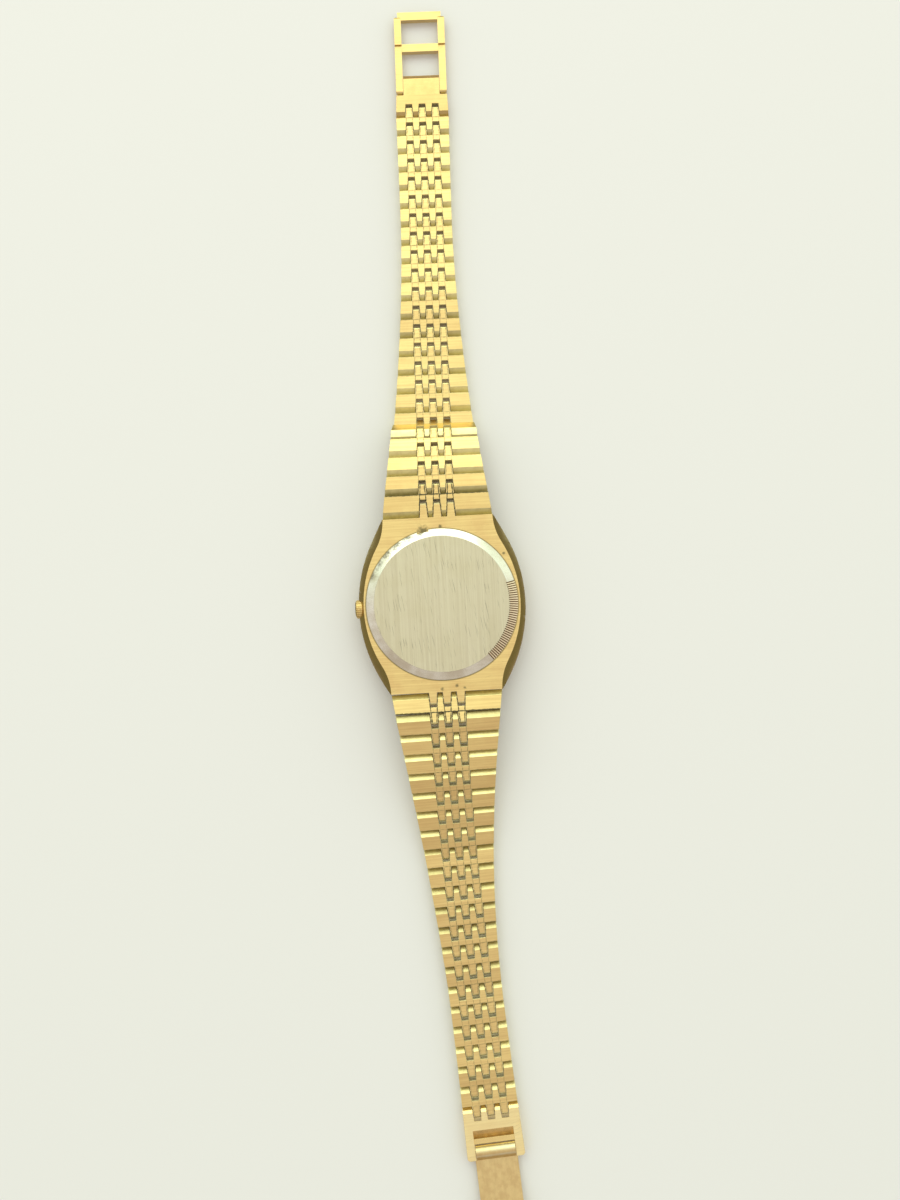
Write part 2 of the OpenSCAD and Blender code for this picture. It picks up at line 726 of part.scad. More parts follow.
// Inner end of a link with its fingers, wings and slots, up to y_out. The slots
// are longer by extra.
module knuckle_end(half_in, half_out, y_out, extra = 0) {
    difference() {
        intersection() {
            side_view(case_end_w + 2) knuckle_side(y_out);
            translate([0, 0, -link_t])
                linear_extrude(2 * link_t)
                    polygon([[-half_in, -seam], [half_in, -seam], [half_out, y_out], [-half_out, y_out]]);
        }
        for (k = [-1:1])
            translate([k * tongue_step, 0, 0])
                tongue_block(-link_t, pitch + extra - seam - band_l, side_gap);
        bar_x(pin_r + seat_gap, 2 * case_end_w);
    }
}

// Pin of a link's own hinge, fixed in the link and running in the tongues
module hinge_pin(half) {
    color(STEEL) bar_x(pin_r, 2 * (half - pin_recess));
}

// One link in its place, with its pin
module link(side, i) {
    half_in = half_w(side, i - 1);
    half_out = half_w(side, i);
    l = link_l(side, i);
    in_place(side, i) {
        color(GOLD) difference() {
            union() {
                knuckle_end(half_in, half_out, l - seam, l - pitch);
                tongues(l - seam - band_l / 2, l, tip_l);
            }
            tongue_bores(l);
        }
        hinge_pin(half_in + (half_out - half_in) * seam / l);
    }
}

// Puts what hangs on hinge i of a strap into its place
module in_place(side, i) {
    translate(hinge(side, i)) rotate([-slope(side, i), 0, yaw(side, i)]) children();
}

// End link of the upper strap, with the neck that carries the ladder
module ladder_link() {
    half = half_w(1, upper_n);
    neck_to = end_link_l + neck_l;
    in_place(1, upper_n + 1) {
        color(GOLD) difference() {
            union() {
                knuckle_end(half, ladder_w / 2, end_link_l);
                translate([-neck_w / 2, end_link_l - band_l, -ladder_t / 2])
                    cube([neck_w, neck_l + band_l, ladder_t]);
            }
            translate([0, pivot_y, 0]) bar_x(pin_r / 2 + run_gap, ladder_w);
            for (s = [-1, 1])
                translate([0, neck_to, s * ladder_t / 2])
                    rotate([s * 30, 0, 0]) cube([ladder_w, ladder_t, ladder_t / 2], center = true);
        }
        hinge_pin(half);
    }
}

// One arm of the ladder, up to arm_to: round in the side view, with its four
// corners bevelled in plan
module ladder_arm(arm_to) {
    x = arm_w / 2;
    y = ladder_t / 2;
    intersection() {
        side_view(arm_w) union() {
            circle(y);
            translate([0, -y]) square([arm_to - y, ladder_t]);
            translate([arm_to - y, 0]) circle(y);
        }
        translate([0, 0, -ladder_t])
            linear_extrude(2 * ladder_t)
                polygon([[-x, arm_bevel - y], [0, arm_bevel - y - x], [x, arm_bevel - y],
                    [x, arm_to - arm_bevel], [0, arm_to - arm_bevel + x], [-x, arm_to - arm_bevel]]);
    }
}

// Ladder: two arms, middle rung and top bar, with its pivot pin
module ladder() {
    arm_x = ladder_w / 2 - arm_w;
    top_from = ladder_l - top_bar_w;
    rung_from = top_from - cell_l - rung_w;
    bar_z = ladder_t / 2 - bar_drop;
    in_place(1, upper_n + 1) translate([0, pivot_y, 0]) {
        color(GOLD) difference() {
            union() {
                for (s = [-1, 1])
                    translate([s * (ladder_w - arm_w) / 2, 0, 0])
                        ladder_arm(ladder_l - 0.6 * top_bar_w);
                translate([-arm_x - arm_w / 2, rung_from, -ladder_t / 2])
                    cube([2 * arm_x + arm_w, rung_w, ladder_t - bar_drop]);
                side_view(ladder_w - arm_w)
                    polygon([[top_from, -ladder_t / 2], [ladder_l - ladder_t / 4, -ladder_t / 2],
                        [ladder_l, 0], [ladder_l - bar_drop, bar_z], [top_from, bar_z]]);
            }
            for (s = [-1, 1])
                translate([s * ladder_w / 2, rung_from + rung_w - groove_in - groove_w / 2, ladder_t / 2])
                    cube([2 * arm_w, groove_w, 2 * groove_depth], center = true);
            bar_x(pin_r / 2 + seat_gap, 2 * ladder_w);
        }
        color(STEEL) bar_x(pin_r / 2, ladder_w - 2 * pin_recess);
    }
}

// What rounds the outer corners of the clasp frame's arms
module arm_corners() {
    for (s = [-1, 1])
        translate([s * (frame_w / 2 - arm_round), frame_l - arm_round, 0])
            difference() {
                translate([s * arm_round, arm_round, 0])
                    cube([2 * arm_round, 2 * arm_round, 2 * link_t], center = true);
                cylinder(r = arm_round + seat_gap, h = 3 * link_t, center = true);
            }
}

// Clasp frame: bar, two arms, cover plate with a snap ridge, and two pins
module clasp_frame() {
    half = half_w(-1, lower_n);
    window_to = frame_l + 1;
    in_place(-1, lower_n + 1) {
        color(GOLD) difference() {
            knuckle_end(half, frame_w / 2, frame_l);
            translate([-window_w / 2, window_from + cover_plate_l, -link_t])
                cube([window_w, window_to, 2 * link_t]);
            translate([-window_w / 2, window_from, -knuckle_r + cover_plate_t])
                cube([window_w, cover_plate_l - ridge_l, link_t]);
            translate([-window_w / 2, window_from, link_t / 4])
                cube([window_w, cover_plate_l + 1, link_t]);
            translate([0, leaf_axis_y, leaf_axis_z]) bar_x(pin_r / 2 + seat_gap, 2 * frame_w);
            arm_corners();
        }
        hinge_pin(half);
        color(STEEL) translate([0, leaf_axis_y, leaf_axis_z]) bar_x(pin_r / 2, frame_w - 2 * pin_recess);
    }
}

// Clasp leaf: rolled barrel on the frame's pin, plate and a hook at its end
module clasp_leaf() {
    root_w = window_w - 2 * run_gap;
    plate_z = leaf_top - leaf_t - leaf_axis_z;
    in_place(-1, lower_n + 1) translate([0, leaf_axis_y, leaf_axis_z]) rotate([leaf_tilt, 0, 0])
        color(GOLD) difference() {
            union() {
                bar_x(barrel_r, root_w);
                side_view(root_w)
                    polygon([[-barrel_r / 2, -barrel_r * 0.8], [barrel_r * 0.7, plate_z],
                        [leaf_room + leaf_t, plate_z], [leaf_room + leaf_t, plate_z + leaf_t],
                        [barrel_r * 1.3, plate_z + leaf_t], [barrel_r, 0]]);
                translate([-leaf_w / 2, leaf_room, plate_z]) cube([leaf_w, leaf_l - leaf_room, leaf_t]);
                translate([-hook_w / 2, leaf_l - hook_t, plate_z - hook_gap - hook_t])
                    cube([hook_w, hook_t, hook_gap + hook_t + leaf_t / 2]);
                translate([-hook_w / 2, leaf_l - hook_l, plate_z - hook_gap - hook_t])
                    cube([hook_w, hook_l, hook_t]);
            }
            bar_x(pin_r / 2 + run_gap, 2 * frame_w);
        }
}

case_body();
case_back();
seals();
crystal();
dial();
hour_hand();
minute_hand();
second_hand();
crown();
stem();
movement_plate();
circuit_block();
battery();
for (i = [1:upper_n]) link(1, i);
for (i = [1:lower_n]) link(-1, i);
ladder_link();
ladder();
clasp_frame();
clasp_leaf();
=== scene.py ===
"""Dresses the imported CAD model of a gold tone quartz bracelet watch.

The watch lies on its crystal with the back cover up and the bracelet laid out.
All places are in metres in the CAD frame: +Z out of the back cover, +Y towards
the ladder and -X towards the crown.
"""

import json
import logging
import math
import random
from dataclasses import dataclass, field
from enum import Enum
from functools import cached_property
from typing import Callable

import bmesh
import bpy
from mathutils import Matrix, Vector

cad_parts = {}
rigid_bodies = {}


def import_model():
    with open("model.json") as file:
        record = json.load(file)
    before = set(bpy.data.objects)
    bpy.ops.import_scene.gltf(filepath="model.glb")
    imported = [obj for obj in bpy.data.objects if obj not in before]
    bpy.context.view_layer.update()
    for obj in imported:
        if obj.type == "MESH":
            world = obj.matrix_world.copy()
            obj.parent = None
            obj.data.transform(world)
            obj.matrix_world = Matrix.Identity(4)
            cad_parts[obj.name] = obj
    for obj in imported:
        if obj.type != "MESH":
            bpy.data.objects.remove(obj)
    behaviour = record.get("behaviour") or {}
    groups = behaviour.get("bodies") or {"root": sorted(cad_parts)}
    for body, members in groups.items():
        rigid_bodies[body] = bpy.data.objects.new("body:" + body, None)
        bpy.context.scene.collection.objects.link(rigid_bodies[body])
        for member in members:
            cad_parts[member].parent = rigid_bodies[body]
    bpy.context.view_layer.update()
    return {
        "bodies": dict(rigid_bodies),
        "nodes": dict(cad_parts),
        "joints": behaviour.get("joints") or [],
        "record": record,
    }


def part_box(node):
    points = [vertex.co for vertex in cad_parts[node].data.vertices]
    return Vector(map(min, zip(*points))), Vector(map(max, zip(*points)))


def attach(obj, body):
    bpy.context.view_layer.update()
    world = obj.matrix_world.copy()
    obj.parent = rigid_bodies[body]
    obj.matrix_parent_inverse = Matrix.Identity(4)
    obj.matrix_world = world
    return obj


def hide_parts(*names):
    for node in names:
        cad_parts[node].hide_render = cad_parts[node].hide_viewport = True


MM = 0.001
IN_MM = Matrix.Scale(1 / MM, 4)
SEED = 7
LOG = logging.getLogger("watch")

Node = bpy.types.Node
Socket = bpy.types.NodeSocket
Tree = bpy.types.NodeTree
Material = bpy.types.Material
Inputs = dict[int | str, object]
# A colour, or one value for each axis
Triple = tuple[float, float, float]
# Place and radius in mm
Spot = tuple[float, float, float, float]


class Slot(Enum):
    """Material slots of the record, handed to the dressed pieces."""

    GOLD = "gold"
    STEEL = "steel"
    DIAL = "dial"
    HANDS = "hands"


class Facet(Enum):
    """How a face of a metal piece was finished, in the order of its materials.

    RECESS is for faces in slots and at seams, which carry dirt and painted shade, and for the clasp's window and the
    back cover's grooves, which carry painted shade. ACCENT is for a link's hinge pin and for the lands of the back
    cover's knurl, whose bright colour is a painted highlight.
    """

    BRUSHED = 0
    POLISHED = 1
    RECESS = 2
    ACCENT = 3


class Strap(Enum):
    """The two halves of the bracelet."""

    UPPER = "upper"
    LOWER = "lower"


# Gives the facet of a face from its centre in mm and its normal, in a piece's own frame
Sorter = Callable[[Vector, Vector], Facet]


class Graph:
    """A node tree under construction, with short calls for common nodes."""

    def __init__(self, tree: Tree) -> None:
        """Keeps the tree that the nodes go into."""
        self.tree = tree

    def feed(self, node: Node, inputs: Inputs) -> None:
        """Connects or sets a node's inputs.

        Args:
            node: The node.
            inputs: Sockets or values by input name or number.
        """
        for key, value in inputs.items():
            if isinstance(value, Socket):
                self.tree.links.new(value, node.inputs[key])
            else:
                node.inputs[key].default_value = value

    def node(self, kind: str, inputs: Inputs | None = None, **props: object) -> Node:
        """Adds one node.

        Args:
            kind: The node's type name.
            inputs: Sockets or values by input name or number.
            props: Properties of the node.

        Returns:
            The new node.
        """
        made = self.tree.nodes.new(kind)
        for name, value in props.items():
            setattr(made, name, value)
        self.feed(made, inputs or {})
        return made

    def math(self, operation: str, a: object, b: object = 0.0, clamp: bool = False) -> Socket:
        """Adds a Math node for two values or sockets, kept within 0 and 1 if clamp is set."""
        return self.node("ShaderNodeMath", {0: a, 1: b}, operation=operation, use_clamp=clamp).outputs[0]

    def times(self, a: object, b: object) -> Socket:
        """Multiplies two values."""
        return self.math("MULTIPLY", a, b)

    def minus(self, a: object, b: object) -> Socket:
        """Takes b from a."""
        return self.math("SUBTRACT", a, b)

    def gap(self, a: object, b: object) -> Socket:
        """Gives how far two values are apart."""
        return self.math("ABSOLUTE", self.minus(a, b))

    def scaled(self, vector: Socket, by: object) -> Socket:
        """Multiplies a vector by a vector, axis by axis."""
        return self.node("ShaderNodeVectorMath", {0: vector, 1: by}, operation="MULTIPLY").outputs[0]

    def radius(self, place: Socket) -> Socket:
        """Gives a place's distance from the Z axis."""
        flat = self.scaled(place, (1.0, 1.0, 0.0))
        return self.node("ShaderNodeVectorMath", {0: flat}, operation="LENGTH").outputs["Value"]

    def place_mm(self) -> Socket:
        """Gives the object's own coordinates in mm."""
        return self.scaled(self.node("ShaderNodeTexCoord").outputs["Object"], (1 / MM,) * 3)

    def attribute(self, name: str, output: str = "Fac") -> Socket:
        """Reads an attribute that Piece.write_attributes stored."""
        return self.node("ShaderNodeAttribute", attribute_name=name).outputs[output]

    def noise(self, vector: Socket, scale: float, detail: float = 3.0, rough: float = 0.55) -> Socket:
        """Reads noise from 0 to 1, with detail as its octaves and rough as their strength."""
        inputs = {"Vector": vector, "Scale": scale, "Detail": detail, "Roughness": rough}
        return self.node("ShaderNodeTexNoise", inputs).outputs[0]

    def step(self, value: Socket, low: float, high: float) -> Socket:
        """Maps a value smoothly from 0 at low to 1 at high."""
        inputs = {"Value": value, "From Min": low, "From Max": high}
        return self.node("ShaderNodeMapRange", inputs, interpolation_type="SMOOTHSTEP").outputs[0]

    def span(self, value: Socket, low: float, high: float) -> Socket:
        """Maps 0 to 1 onto low to high, clamped."""
        return self.node("ShaderNodeMapRange", {"Value": value, "To Min": low, "To Max": high}).outputs[0]

    def mix(self, share: object, a: object, b: object, blend: str = "MIX") -> Socket:
        """Mixes colours a and b, with share as how much of b there is."""
        inputs = {0: share, 6: a, 7: b}
        return self.node("ShaderNodeMix", inputs, data_type="RGBA", blend_type=blend).outputs[2]

    def group(self, tree: Tree, **inputs: object) -> Node:
        """Places a node group, with _ for a space in the names of its inputs."""
        made = self.node("ShaderNodeGroup", node_tree=tree)
        self.feed(made, {key.replace("_", " "): value for key, value in inputs.items()})
        return made


def rgba(colour: Triple) -> tuple[float, float, float, float]:
    """Adds a full alpha to a colour."""
    return (*colour, 1.0)


def new_material(name: str) -> tuple[Material, Graph, Node]:
    """Starts a material.

    Args:
        name: Its name.

    Returns:
        The material, its graph and its Principled BSDF node.
    """
    material = bpy.data.materials.new(name)
    material.use_nodes = True
    return material, Graph(material.node_tree), material.node_tree.nodes["Principled BSDF"]


def new_group(
    name: str, vectors: tuple[str, ...], floats: tuple[str, ...], outputs: tuple[str, ...]
) -> tuple[Graph, bpy.types.bpy_prop_collection, Node]:
    """Starts a shader node group.

    Args:
        name: Its name.
        vectors: Names of its vector inputs.
        floats: Names of its number inputs.
        outputs: Names of its outputs, which are numbers.

    Returns:
        The graph, the values that the group is given, and its output node.
    """
    tree = bpy.data.node_groups.new(name, "ShaderNodeTree")
    for kind, keys in {"NodeSocketVector": vectors, "NodeSocketFloat": floats}.items():
        for key in keys:
            tree.interface.new_socket(key, in_out="INPUT", socket_type=kind)
    for key in outputs:
        tree.interface.new_socket(key, in_out="OUTPUT", socket_type="NodeSocketFloat")
    graph = Graph(tree)
    return graph, graph.node("NodeGroupInput").outputs, graph.node("NodeGroupOutput")


@dataclass
class Effects:
    """Node groups that several finishes share.

    Attributes:
        scratch_limit, scratch_drop: Noise above which a scratch shows, and how much an amount of 1 lowers it.
        scratch_edge: How steeply a scratch sets in.
        ragged: How far noise moves the edge of the dirt and painted shade, in mm.
        slot_dirt, seam_dirt: Width of the dirt and painted shade beside a slot and a seam, in mm.
        deep_dirt: Heights in a link, in mm, where the painted shade towards its middle starts and where it is full.
        slots_within: Where the slots end, in steps from the middle of a link.
    """

    scratch_limit: float = 0.8
    scratch_drop: float = 0.2
    scratch_edge: float = 16.0
    ragged: float = 0.22
    slot_dirt: float = 0.1
    seam_dirt: float = 0.12
    deep_dirt: tuple[float, float] = (0.8, 0.25)
    slots_within: float = 1.5

    @cached_property
    def grain(self) -> Tree:
        """Fine lines left by a brushing wheel.

        Returns:
            A group that reads a place in mm, stretched by Stretch, and gives
            fine lines and broader streaks from 0 to 1.
        """
        graph, given, out = new_group("brushed_grain", ("Vector", "Stretch"), ("Seed",), ("Lines", "Streaks"))
        moved = graph.node("ShaderNodeVectorMath", {0: given["Vector"], 1: given["Seed"]}, operation="ADD")
        place = graph.scaled(moved.outputs[0], given["Stretch"])
        lines = graph.noise(place, scale=1.0, detail=4.0, rough=0.7)
        streaks = graph.noise(place, scale=0.22, detail=3.0, rough=0.6)
        graph.feed(out, {"Lines": graph.step(lines, 0.3, 0.7), "Streaks": graph.step(streaks, 0.32, 0.68)})
        return graph.tree

    @cached_property
    def patina(self) -> Tree:
        """Soft cloudy tarnish and small dark specks.

        Returns:
            A group that gives clouds and specks from 0 to 1.
        """
        graph, given, out = new_group("patina", ("Vector",), ("Size",), ("Clouds", "Specks"))
        inputs = {0: given["Vector"], "Scale": given["Size"]}
        place = graph.node("ShaderNodeVectorMath", inputs, operation="SCALE").outputs[0]
        clouds = graph.noise(place, scale=0.35, detail=4.0, rough=0.6)
        specks = graph.noise(place, scale=5.5, detail=2.0, rough=0.5)
        graph.feed(out, {"Clouds": graph.step(clouds, 0.38, 0.66), "Specks": graph.step(specks, 0.68, 0.76)})
        return graph.tree

    @cached_property
    def scratches(self) -> Tree:
        """Thin stray scratches along one direction.

        Returns:
            A group that gives 1 on a scratch and 0 elsewhere.
        """
        graph, given, out = new_group("scratches", ("Vector", "Stretch"), ("Turn", "Amount"), ("Mask",))
        inputs = {"Vector": given["Vector"], "Angle": given["Turn"]}
        turned = graph.node("ShaderNodeVectorRotate", inputs, rotation_type="Z_AXIS").outputs[0]
        thin = graph.noise(graph.scaled(turned, given["Stretch"]), scale=1.0, detail=1.0, rough=0.4)
        limit = graph.minus(self.scratch_limit, graph.times(given["Amount"], self.scratch_drop))
        mask = graph.math("MULTIPLY", graph.minus(thin, limit), self.scratch_edge, clamp=True)
        graph.feed(out, {"Mask": mask})
        return graph.tree

    @cached_property
    def grime(self) -> Tree:
        """Dirt and painted shade beside a link's slots and at its seams, and painted shade down its sides.

        Returns:
            A group that reads a place in a link's own frame, in mm, and gives the dirt and painted shade beside slots
            and seams and the painted shade by depth, from 0 to 1.
        """
        graph, given, out = new_group(
            "link_grime", ("Local",), ("Step", "Half Slot", "Taper", "Outer Edge"), ("Edges", "Depth")
        )
        x, y, z = graph.node("ShaderNodeSeparateXYZ", {0: given["Local"]}).outputs
        wobble = graph.times(graph.minus(graph.noise(given["Local"], scale=2.6), 0.5), self.ragged)
        turns = graph.math("DIVIDE", x, given["Step"])
        offset = graph.times(graph.gap(turns, graph.math("ROUND", turns)), given["Step"])
        half_slot = graph.minus(given["Half Slot"], graph.times(y, given["Taper"]))
        inside = graph.math("LESS_THAN", graph.math("ABSOLUTE", turns), self.slots_within)
        beside = graph.math("ADD", graph.gap(offset, half_slot), wobble)
        # Dirt and painted shade beside the slots
        slot_dirt = graph.times(graph.step(beside, self.slot_dirt, 0.0), inside)
        from_seam = graph.math("ADD", graph.gap(given["Outer Edge"], y), wobble)
        edges = graph.math("MAXIMUM", slot_dirt, graph.step(from_seam, self.seam_dirt, 0.0))
        # Painted shade that grows towards a link's middle height, deep in its slots and down its sides
        height = graph.math("ADD", graph.math("ABSOLUTE", z), wobble)
        graph.feed(out, {"Edges": edges, "Depth": graph.step(height, *self.deep_dirt)})
        return graph.tree


@dataclass(frozen=True)
class MetalFinish:
    """A plated or solid metal surface.

    Attributes:
        name: Name of the material.
        bright, dull: Colours where it is clean and where it is tarnished; on the steel ring the dull colour is
            painted reflection.
        roughness, spread: Mean roughness, and how much the brushing changes it.
        stretch, depth: Lines per mm along each local axis, and their height in metres.
        streaks, hairline: How much streaks show, and their colour as shares of the dull one.
        grime: Share of dirt and painted shade beside slots and at seams, and of painted shade in depth.
        dirt_colour, dirt_rough, dirt_metal: Colour of the dirt and painted shade, and what they add in roughness and
            take in metal.
        tarnish, clouds: Share of cloudy tarnish, which on the steel ring is painted reflection, and its clouds per 3
            mm.
        specks: Share of dark specks where the tarnish is full.
        scratches, scratch_turn: Share of stray scratches, and their angle from +X in radians.
        scratch_stretch, scratch_cut: Their number per mm along each axis, and depth in brushing depths.
        scratch_tone, scratch_colour: How much they show, and their colour as a share of the bright one.
        worn, worn_strength: Spots with more scratches, and how many more.
        stains, stain_strength: Stains, which on the steel ring are painted reflection, and how dark they are.
        rims: Dark circles around the Z axis, painted shade and dirt at edges and seams, as radius and width in mm and
            strength.
        metallic: How metallic the clean surface is.
        dull_share, dull_shade: Added tarnish and brightness of a piece of tone 1; on the first two upper links this
            is painted reflection.
        seed_step: How far apart in the noise pieces of tone 0 and 1 are.
    """

    name: str
    bright: Triple
    dull: Triple
    roughness: float
    spread: float = 0.1
    stretch: Triple = (0.4, 20.0, 20.0)
    depth: float = 1.0e-6
    streaks: float = 0.14
    hairline: Triple = (0.52, 0.42, 0.36)
    grime: tuple[float, float] = (0.0, 0.0)
    dirt_colour: Triple = (0.075, 0.07, 0.032)
    dirt_rough: float = 0.35
    dirt_metal: float = 0.7
    tarnish: float = 0.3
    clouds: float = 1.0
    specks: float = 0.35
    scratches: float = 0.2
    scratch_turn: float = 0.35
    scratch_stretch: Triple = (0.3, 9.0, 4.0)
    scratch_tone: float = 0.35
    scratch_colour: float = 0.4
    scratch_cut: float = 1.5
    worn: tuple[Spot, ...] = ()
    worn_strength: float = 0.4
    stains: tuple[Spot, ...] = ()
    stain_strength: float = 0.8
    rims: tuple[Triple, ...] = ()
    metallic: float = 1.0
    dull_share: float = 0.5
    dull_shade: float = 0.88
    seed_step: float = 37.0

    def build(self, effects: Effects, link: "LinkShape") -> Material:
        """Builds the material.

        Args:
            effects: The shared node groups.
            link: The link's sizes, for the dirt beside its slots.

        Returns:
            The material.
        """
        material, graph, shader = new_material(self.name)
        local = graph.attribute("local", "Vector")
        tone = graph.attribute("tone")
        seed = graph.times(tone, self.seed_step)
        grain = graph.group(effects.grain, Vector=local, Stretch=self.stretch, Seed=seed).outputs
        patina = graph.group(effects.patina, Vector=local, Size=self.clouds).outputs
        amount = graph.math("ADD", self.scratches, self.spots(graph, local, self.worn, self.worn_strength))
        marks = graph.group(
            effects.scratches, Vector=local, Turn=-self.scratch_turn, Stretch=self.scratch_stretch, Amount=amount
        ).outputs["Mask"]
        grime = graph.group(
            effects.grime, Local=local, Step=link.tongue_step, Half_Slot=link.slot_half,
            Taper=link.slot_taper, Outer_Edge=graph.attribute("reach"),
        ).outputs

        # Dirt and painted shade beside slots and seams, and painted shade by depth
        edges = graph.times(graph.times(grime["Edges"], graph.attribute("soil")), self.grime[0])
        dirt = graph.math("MAXIMUM", edges, graph.times(grime["Depth"], self.grime[1]))
        specks = graph.times(patina["Specks"], self.specks * self.tarnish)
        dirt = self.placed_dirt(graph, local, graph.math("ADD", dirt, specks, clamp=True))

        # Tarnish and the tone's dullness; on the steel ring and on the first upper links these paint darker
        # reflections
        clouds, dullness = graph.times(patina["Clouds"], self.tarnish), graph.span(tone, 0.0, self.dull_share)
        tarnish = graph.math("ADD", clouds, dullness, clamp=True)
        colour = graph.mix(tarnish, rgba(self.bright), rgba(self.dull))
        hairline = rgba(tuple(a * b for a, b in zip(self.dull, self.hairline)))
        colour = graph.mix(graph.span(grain["Streaks"], self.streaks, 0.0), colour, hairline)
        colour = graph.mix(1.0, colour, graph.span(tone, 1.0, self.dull_shade), "MULTIPLY")
        # Darkens the colour with the dirt and painted shade
        colour = graph.mix(dirt, colour, rgba(self.dirt_colour))
        scratched = rgba(tuple(self.scratch_colour * c for c in self.bright))
        colour = graph.mix(graph.times(marks, self.scratch_tone), colour, scratched)

        half = self.spread / 2
        rough = graph.span(grain["Lines"], self.roughness - half, self.roughness + half)
        height = graph.math("ADD", grain["Lines"], graph.times(marks, -self.scratch_cut))
        bump = graph.node("ShaderNodeBump", {"Strength": 1.0, "Distance": self.depth, "Height": height})
        graph.feed(shader, {
            "Base Color": colour,
            "Roughness": graph.math("ADD", rough, graph.times(dirt, self.dirt_rough), clamp=True),
            "Metallic": graph.minus(self.metallic, graph.times(dirt, self.dirt_metal * self.metallic)),
            "Normal": bump.outputs[0],
        })
        return material

    def placed_dirt(self, graph: Graph, local: Socket, dirt: Socket) -> Socket:
        """Adds the stains, with painted reflections, and the dark circles of painted shade and dirt to the dirt and
        painted shade.

        Args:
            graph: The material's graph.
            local: The place in mm.
            dirt: The dirt and painted shade so far.

        Returns:
            The dirt and painted shade with the stains and the circles.
        """
        dirt = graph.math("MAXIMUM", dirt, self.spots(graph, local, self.stains, self.stain_strength))
        radius = graph.radius(local)
        for rim, width, strength in self.rims:
            near = graph.step(graph.gap(radius, rim), width, 0.0)
            dirt = graph.math("MAXIMUM", dirt, graph.times(near, strength))
        return dirt

    def spots(self, graph: Graph, local: Socket, places: tuple[Spot, ...], strength: float) -> object:
        """Masks soft, ragged spots.

        Args:
            graph: The material's graph.
            local: The place in mm.
            places: The spots.
            strength: The mask at the middle of a spot.

        Returns:
            The mask's socket, or 0 where there are no spots.
        """
        mask = 0.0
        ragged = graph.span(graph.noise(local, scale=3.0), -0.8, 0.8) if places else None
        for *centre, radius in places:
            distance = graph.node("ShaderNodeVectorMath", {0: local, 1: tuple(centre)}, operation="DISTANCE")
            away = graph.math("ADD", distance.outputs["Value"], graph.times(ragged, radius))
            near = graph.step(away, 1.2 * radius, 0.1 * radius)
            mask = graph.math("MAXIMUM", mask, graph.times(near, strength))
        return mask


@dataclass(frozen=True)
class PlainFinish:
    """A small inner surface with soft cloudy variation.

    Attributes:
        name: Name of the material.
        light, dark: Colours of its lighter and darker areas.
        roughness, spread: Mean roughness, and how much the grain changes it, up and down.
        metallic: How metallic it is.
        scale, finer: Clouds per mm, and how many times finer its grain is.
        grain: Height of its grain in metres.
    """

    name: str
    light: Triple
    dark: Triple
    roughness: float
    metallic: float = 0.0
    spread: float = 0.06
    scale: float = 1.5
    finer: float = 8.0
    grain: float = 1e-6

    def build(self) -> Material:
        """Builds the material.

        Returns:
            The material.
        """
        material, graph, shader = new_material(self.name)
        place = graph.place_mm()
        clouds = graph.step(graph.noise(place, self.scale), 0.35, 0.65)
        fine = graph.noise(place, self.scale * self.finer)
        graph.feed(shader, {
            "Base Color": graph.mix(clouds, rgba(self.dark), rgba(self.light)),
            "Roughness": graph.span(fine, self.roughness - self.spread, self.roughness + self.spread),
            "Metallic": self.metallic,
            "Normal": graph.node("ShaderNodeBump", {"Distance": self.grain, "Height": fine}).outputs[0],
        })
        return material


@dataclass(frozen=True)
class CrystalFinish:
    """Clear mineral glass with faint smears.

    Attributes:
        name, tint, ior: Name of the material, colour of the glass and its index of refraction.
        roughness, smeared: Roughness of clean glass, and how much rougher a smear is.
    """

    name: str = "mineral_glass"
    tint: Triple = (0.96, 0.98, 0.98)
    roughness: float = 0.02
    smeared: float = 0.05
    ior: float = 1.52

    def build(self) -> Material:
        """Builds the material.

        Returns:
            The material.
        """
        material, graph, shader = new_material(self.name)
        smear = graph.step(graph.noise(graph.place_mm(), scale=0.4), 0.5, 0.75)
        graph.feed(shader, {
            "Base Color": rgba(self.tint),
            "Roughness": graph.span(smear, self.roughness, self.roughness + self.smeared),
            "Transmission Weight": 1.0,
            "IOR": self.ior,
        })
        return material


@dataclass(frozen=True)
class DialFinish:
    """Champagne dial with a sunburst and a printed minute track.

    Attributes:
        name: Name of the material.
        light, dark, ink: Colours of the bright rays, the darker rays and the track.
        metallic: How metallic the rays and the ink are.
        rays: How fine the rays are.
        marks, track_r: Number of marks on the track, and its radius in mm.
        mark_half: Half the length and half the width of a mark in mm.
    """

    name: str = "champagne_dial"
    light: Triple = (0.86, 0.74, 0.5)
    dark: Triple = (0.7, 0.57, 0.34)
    ink: Triple = (0.03, 0.025, 0.02)
    metallic: tuple[float, float] = (0.75, 0.05)
    rays: float = 26.0
    marks: int = 60
    track_r: float = 8.55
    mark_half: tuple[float, float] = (0.22, 0.045)

    def build(self) -> Material:
        """Builds the material.

        Returns:
            The material.
        """
        material, graph, shader = new_material(self.name)
        place = graph.place_mm()
        x, y, _ = graph.node("ShaderNodeSeparateXYZ", {0: place}).outputs
        angle = graph.math("ARCTAN2", x, y)
        circle = graph.node("ShaderNodeCombineXYZ", {0: graph.math("SINE", angle), 1: graph.math("COSINE", angle)})
        rays = graph.step(graph.noise(circle.outputs[0], self.rays, detail=4.0, rough=0.7), 0.3, 0.7)
        turns = graph.times(angle, self.marks / math.tau)
        pitch = math.tau * self.track_r / self.marks
        off_mark = graph.times(graph.gap(turns, graph.math("ROUND", turns)), pitch)
        length, width = self.mark_half
        on_track = graph.math("LESS_THAN", graph.gap(graph.radius(place), self.track_r), length)
        ink = graph.times(graph.math("LESS_THAN", off_mark, width), on_track)
        graph.feed(shader, {
            "Base Color": graph.mix(ink, graph.mix(rays, rgba(self.dark), rgba(self.light)), rgba(self.ink)),
            "Roughness": graph.span(rays, 0.28, 0.4),
            "Metallic": graph.span(ink, *self.metallic),
        })
        return material


